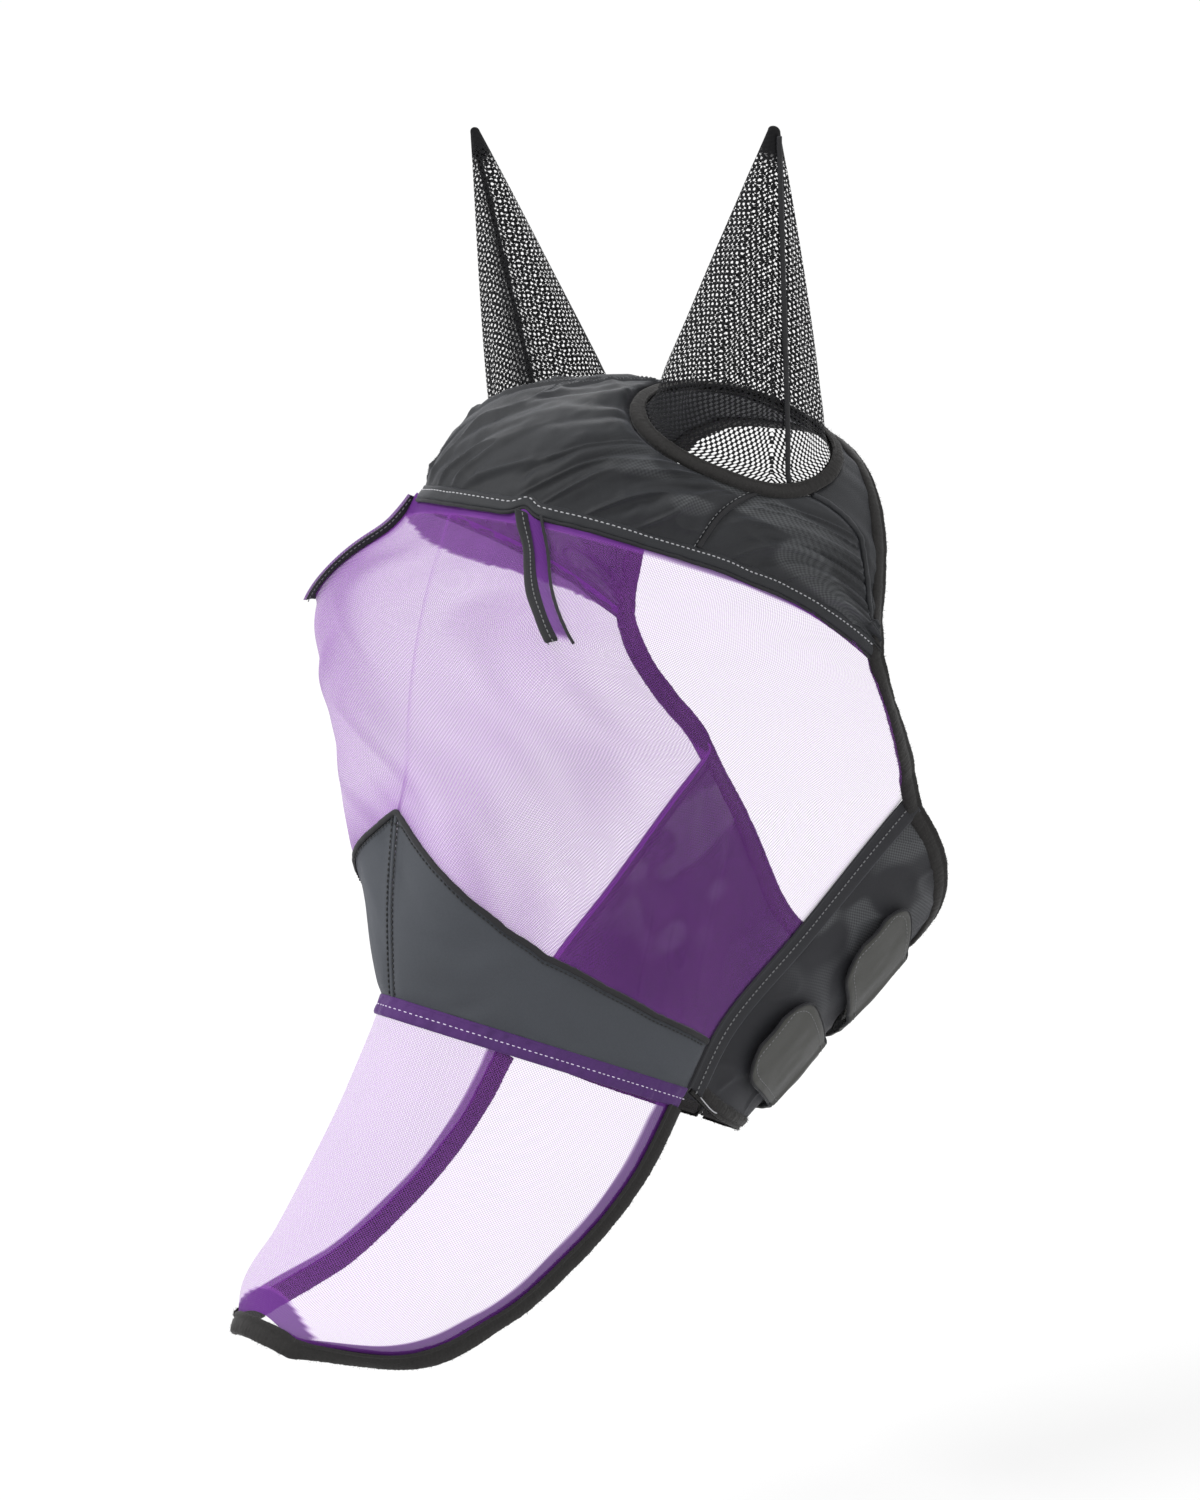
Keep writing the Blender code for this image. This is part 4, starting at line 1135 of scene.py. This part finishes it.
for place, (v_low, v_high, t_tip) in TABS.items():
    middle = (v_low + v_high) / 2
    # One length of tape: under the jaw from the right band, then up the left cheek.
    run = np.r_[np.linspace(TAB_ROOT, TAB_FOLD, 70), np.linspace(TAB_FOLD, t_tip, 71)[1:]]
    left = np.clip((t_tip - run) / (t_tip - TAB_FOLD), 0, 1)
    round_off = np.clip(1 - left / 0.32, 0, 1)
    half = (v_high - v_low) / 2 * np.sqrt(np.maximum(1 - round_off**3 * 0.90, 0))
    share = np.linspace(-1, 1, 34)
    v = middle + half[None, :] * share[:, None]
    t = np.broadcast_to(run[None, :], v.shape)
    p, n = jaw.at(v, t), jaw.normal(v, t)
    d, u = (share[:, None] * 24 + 0 * run[None]), run[None] * 230 + 0 * share[:, None]
    wave_up = 0.5 * noise(u / 24, d / 20, 121) + 0.25 * noise(u / 9, d / 11, 122)
    crease = -0.9 * bump_at(run, TAB_FOLD, 0.012)[None]
    # The tape is pressed over in a ridge just above its fold.
    crease = crease + 1.3 * bump_at(run[None] + 0.01 * share[:, None], TAB_FOLD + 0.085, 0.014)
    wave_up = wave_up + 1.1 * ease((t - t_tip + 0.09) / 0.09) - 0.6 * np.abs(share[:, None]) ** 3
    p = p + n * (wave_up + crease)[..., None]
    flat = np.stack([u, d], -1)
    obj = folded(f"tab_{place}_tape", p, n, 1.9, flat, tab_cloth, lift=TAB_LIFT, roll=1.0)
    fold_ends = [jaw.at(middle, t) + jaw.normal(middle, t) * TAB_LIFT
                 for t in (TAB_FOLD - 0.02, TAB_FOLD + 0.02)]
    fit_bent(obj, "tab_tape", f"tab_{place}", *fold_ends, f"tab_{place}_strap",
             f"tab_{place}_flap")
    # A dark bound edge and a sewn line round the flap.
    first = int(np.searchsorted(run, TAB_FOLD + 0.03))
    fit(tube(f"tab_{place}_edge", round_flap(p, first, 0), round_flap(n, first, 0), 0.9, 1.1,
             tape_weave, lift=TAB_LIFT - 0.3, step=1.0, sides=8), "black_tape", body=f"tab_{place}")
    fit(stitches(f"tab_{place}_stitches", round_flap(p, first, 3), round_flap(n, first, 3),
                 grey_thread, pitch=2.9, long=1.9, thick=0.3, lift=TAB_LIFT + 0.95), "black_tape",
        body=f"tab_{place}")
    # Touch-close patches under the flap, with edges that wave a little.
    t = np.linspace(TAB_FOLD + 0.03, t_tip - 0.10, 40)[None]
    v = np.linspace(v_low + 0.006, v_high - 0.006, 30)[:, None]
    v = v - 0.012 * np.abs(((t - TAB_FOLD) * 60) % 1 - 0.5) * np.linspace(-1, 1, 30)[:, None]
    v, t = np.broadcast_arrays(v, t)
    flat = np.stack([t * 230, v * 160], -1)
    for what, drop, nylon, body in (("hook", 2.1, hook_nylon, f"tab_{place}"),
                                    ("loop", 3.9, loop_nylon, "mask")):
        fit(folded(f"tab_{place}_{what}s", jaw.at(v, t), jaw.normal(v, t), 1.1, flat, nylon,
                   lift=TAB_LIFT - drop, roll=0.8), f"{what}_tape", f"tab_{place}_{what}_patch",
            body=body)

cut(face_flat, face_points)
cut(nose_flat, nose_points)

# ---------------------------------------------------------------- floor, light and camera

def backdrop():
    """A pale floor, well below the mask."""
    m, tree, shader = start_material("floor_paint")
    where = node(tree, "ShaderNodeTexCoord").outputs["Object"]
    grain = node(tree, "ShaderNodeTexNoise", {"Vector": where, "Scale": 6.0, "Detail": 2.0})
    tree.links.new(mix_colour(tree, grain.outputs[0], (0.27, 0.27, 0.27), (0.29, 0.29, 0.29)),
                   shader.inputs["Base Color"])
    shader.inputs["Roughness"].default_value = 1.0
    shader.inputs["Specular IOR Level"].default_value = 0.0
    # Lit from within as a light table is, so the cloth's shadow stays faint.
    shader.inputs["Emission Color"].default_value = (1, 1, 1, 1)
    shader.inputs["Emission Strength"].default_value = 0.6
    mesh = bpy.data.meshes.new("floor")
    size, z = 30.0, -0.72
    mesh.from_pydata([(-size, -size, z), (size, -size, z), (size, size, z), (-size, size, z)], [],
                     [(0, 1, 2, 3)])
    mesh.materials.append(m)
    obj = bpy.data.objects.new("floor", mesh)
    bpy.context.scene.collection.objects.link(obj)


def area_light(name, place, target, size, power):
    light = bpy.data.lights.new(name, "AREA")
    light.shape = "DISK"
    light.size = size
    light.energy = power
    obj = bpy.data.objects.new(name, light)
    obj.location = place
    obj.rotation_mode = "QUATERNION"
    obj.rotation_quaternion = (Vector(place) - Vector(target)).to_track_quat("Z", "Y")
    bpy.context.scene.collection.objects.link(obj)


backdrop()
world = bpy.data.worlds.new("studio")
bpy.context.scene.world = world
world.use_nodes = True
world.node_tree.nodes["Background"].inputs[0].default_value = (1, 1, 1, 1)
world.node_tree.nodes["Background"].inputs[1].default_value = 1.02
sun = bpy.data.lights.new("sun", "SUN")
sun.energy = 2.0
sun.angle = math.radians(20)
sun_object = bpy.data.objects.new("sun", sun)
sun_object.rotation_euler = (math.radians(42), 0, math.radians(-8))
bpy.context.scene.collection.objects.link(sun_object)
area_light("rim", (-1.8, 1.2, 2.0), (0, 0, -0.1), 1.0, 25)
bpy.context.scene.view_settings.view_transform = "Standard"

AZIMUTH, ELEVATION, DISTANCE = math.radians(50), math.radians(10), 2.15
TARGET = Vector((0, -0.027, -0.214))
back = Vector((math.sin(AZIMUTH) * math.cos(ELEVATION), -math.cos(AZIMUTH) * math.cos(ELEVATION),
               math.sin(ELEVATION)))
lens = bpy.data.cameras.new("camera")
lens.lens = 87.7
lens.sensor_width = 36
camera = bpy.data.objects.new("camera", lens)
camera.location = TARGET + back * DISTANCE
camera.rotation_mode = "QUATERNION"
camera.rotation_quaternion = back.to_track_quat("Z", "Y")
bpy.context.scene.collection.objects.link(camera)
bpy.context.scene.camera = camera
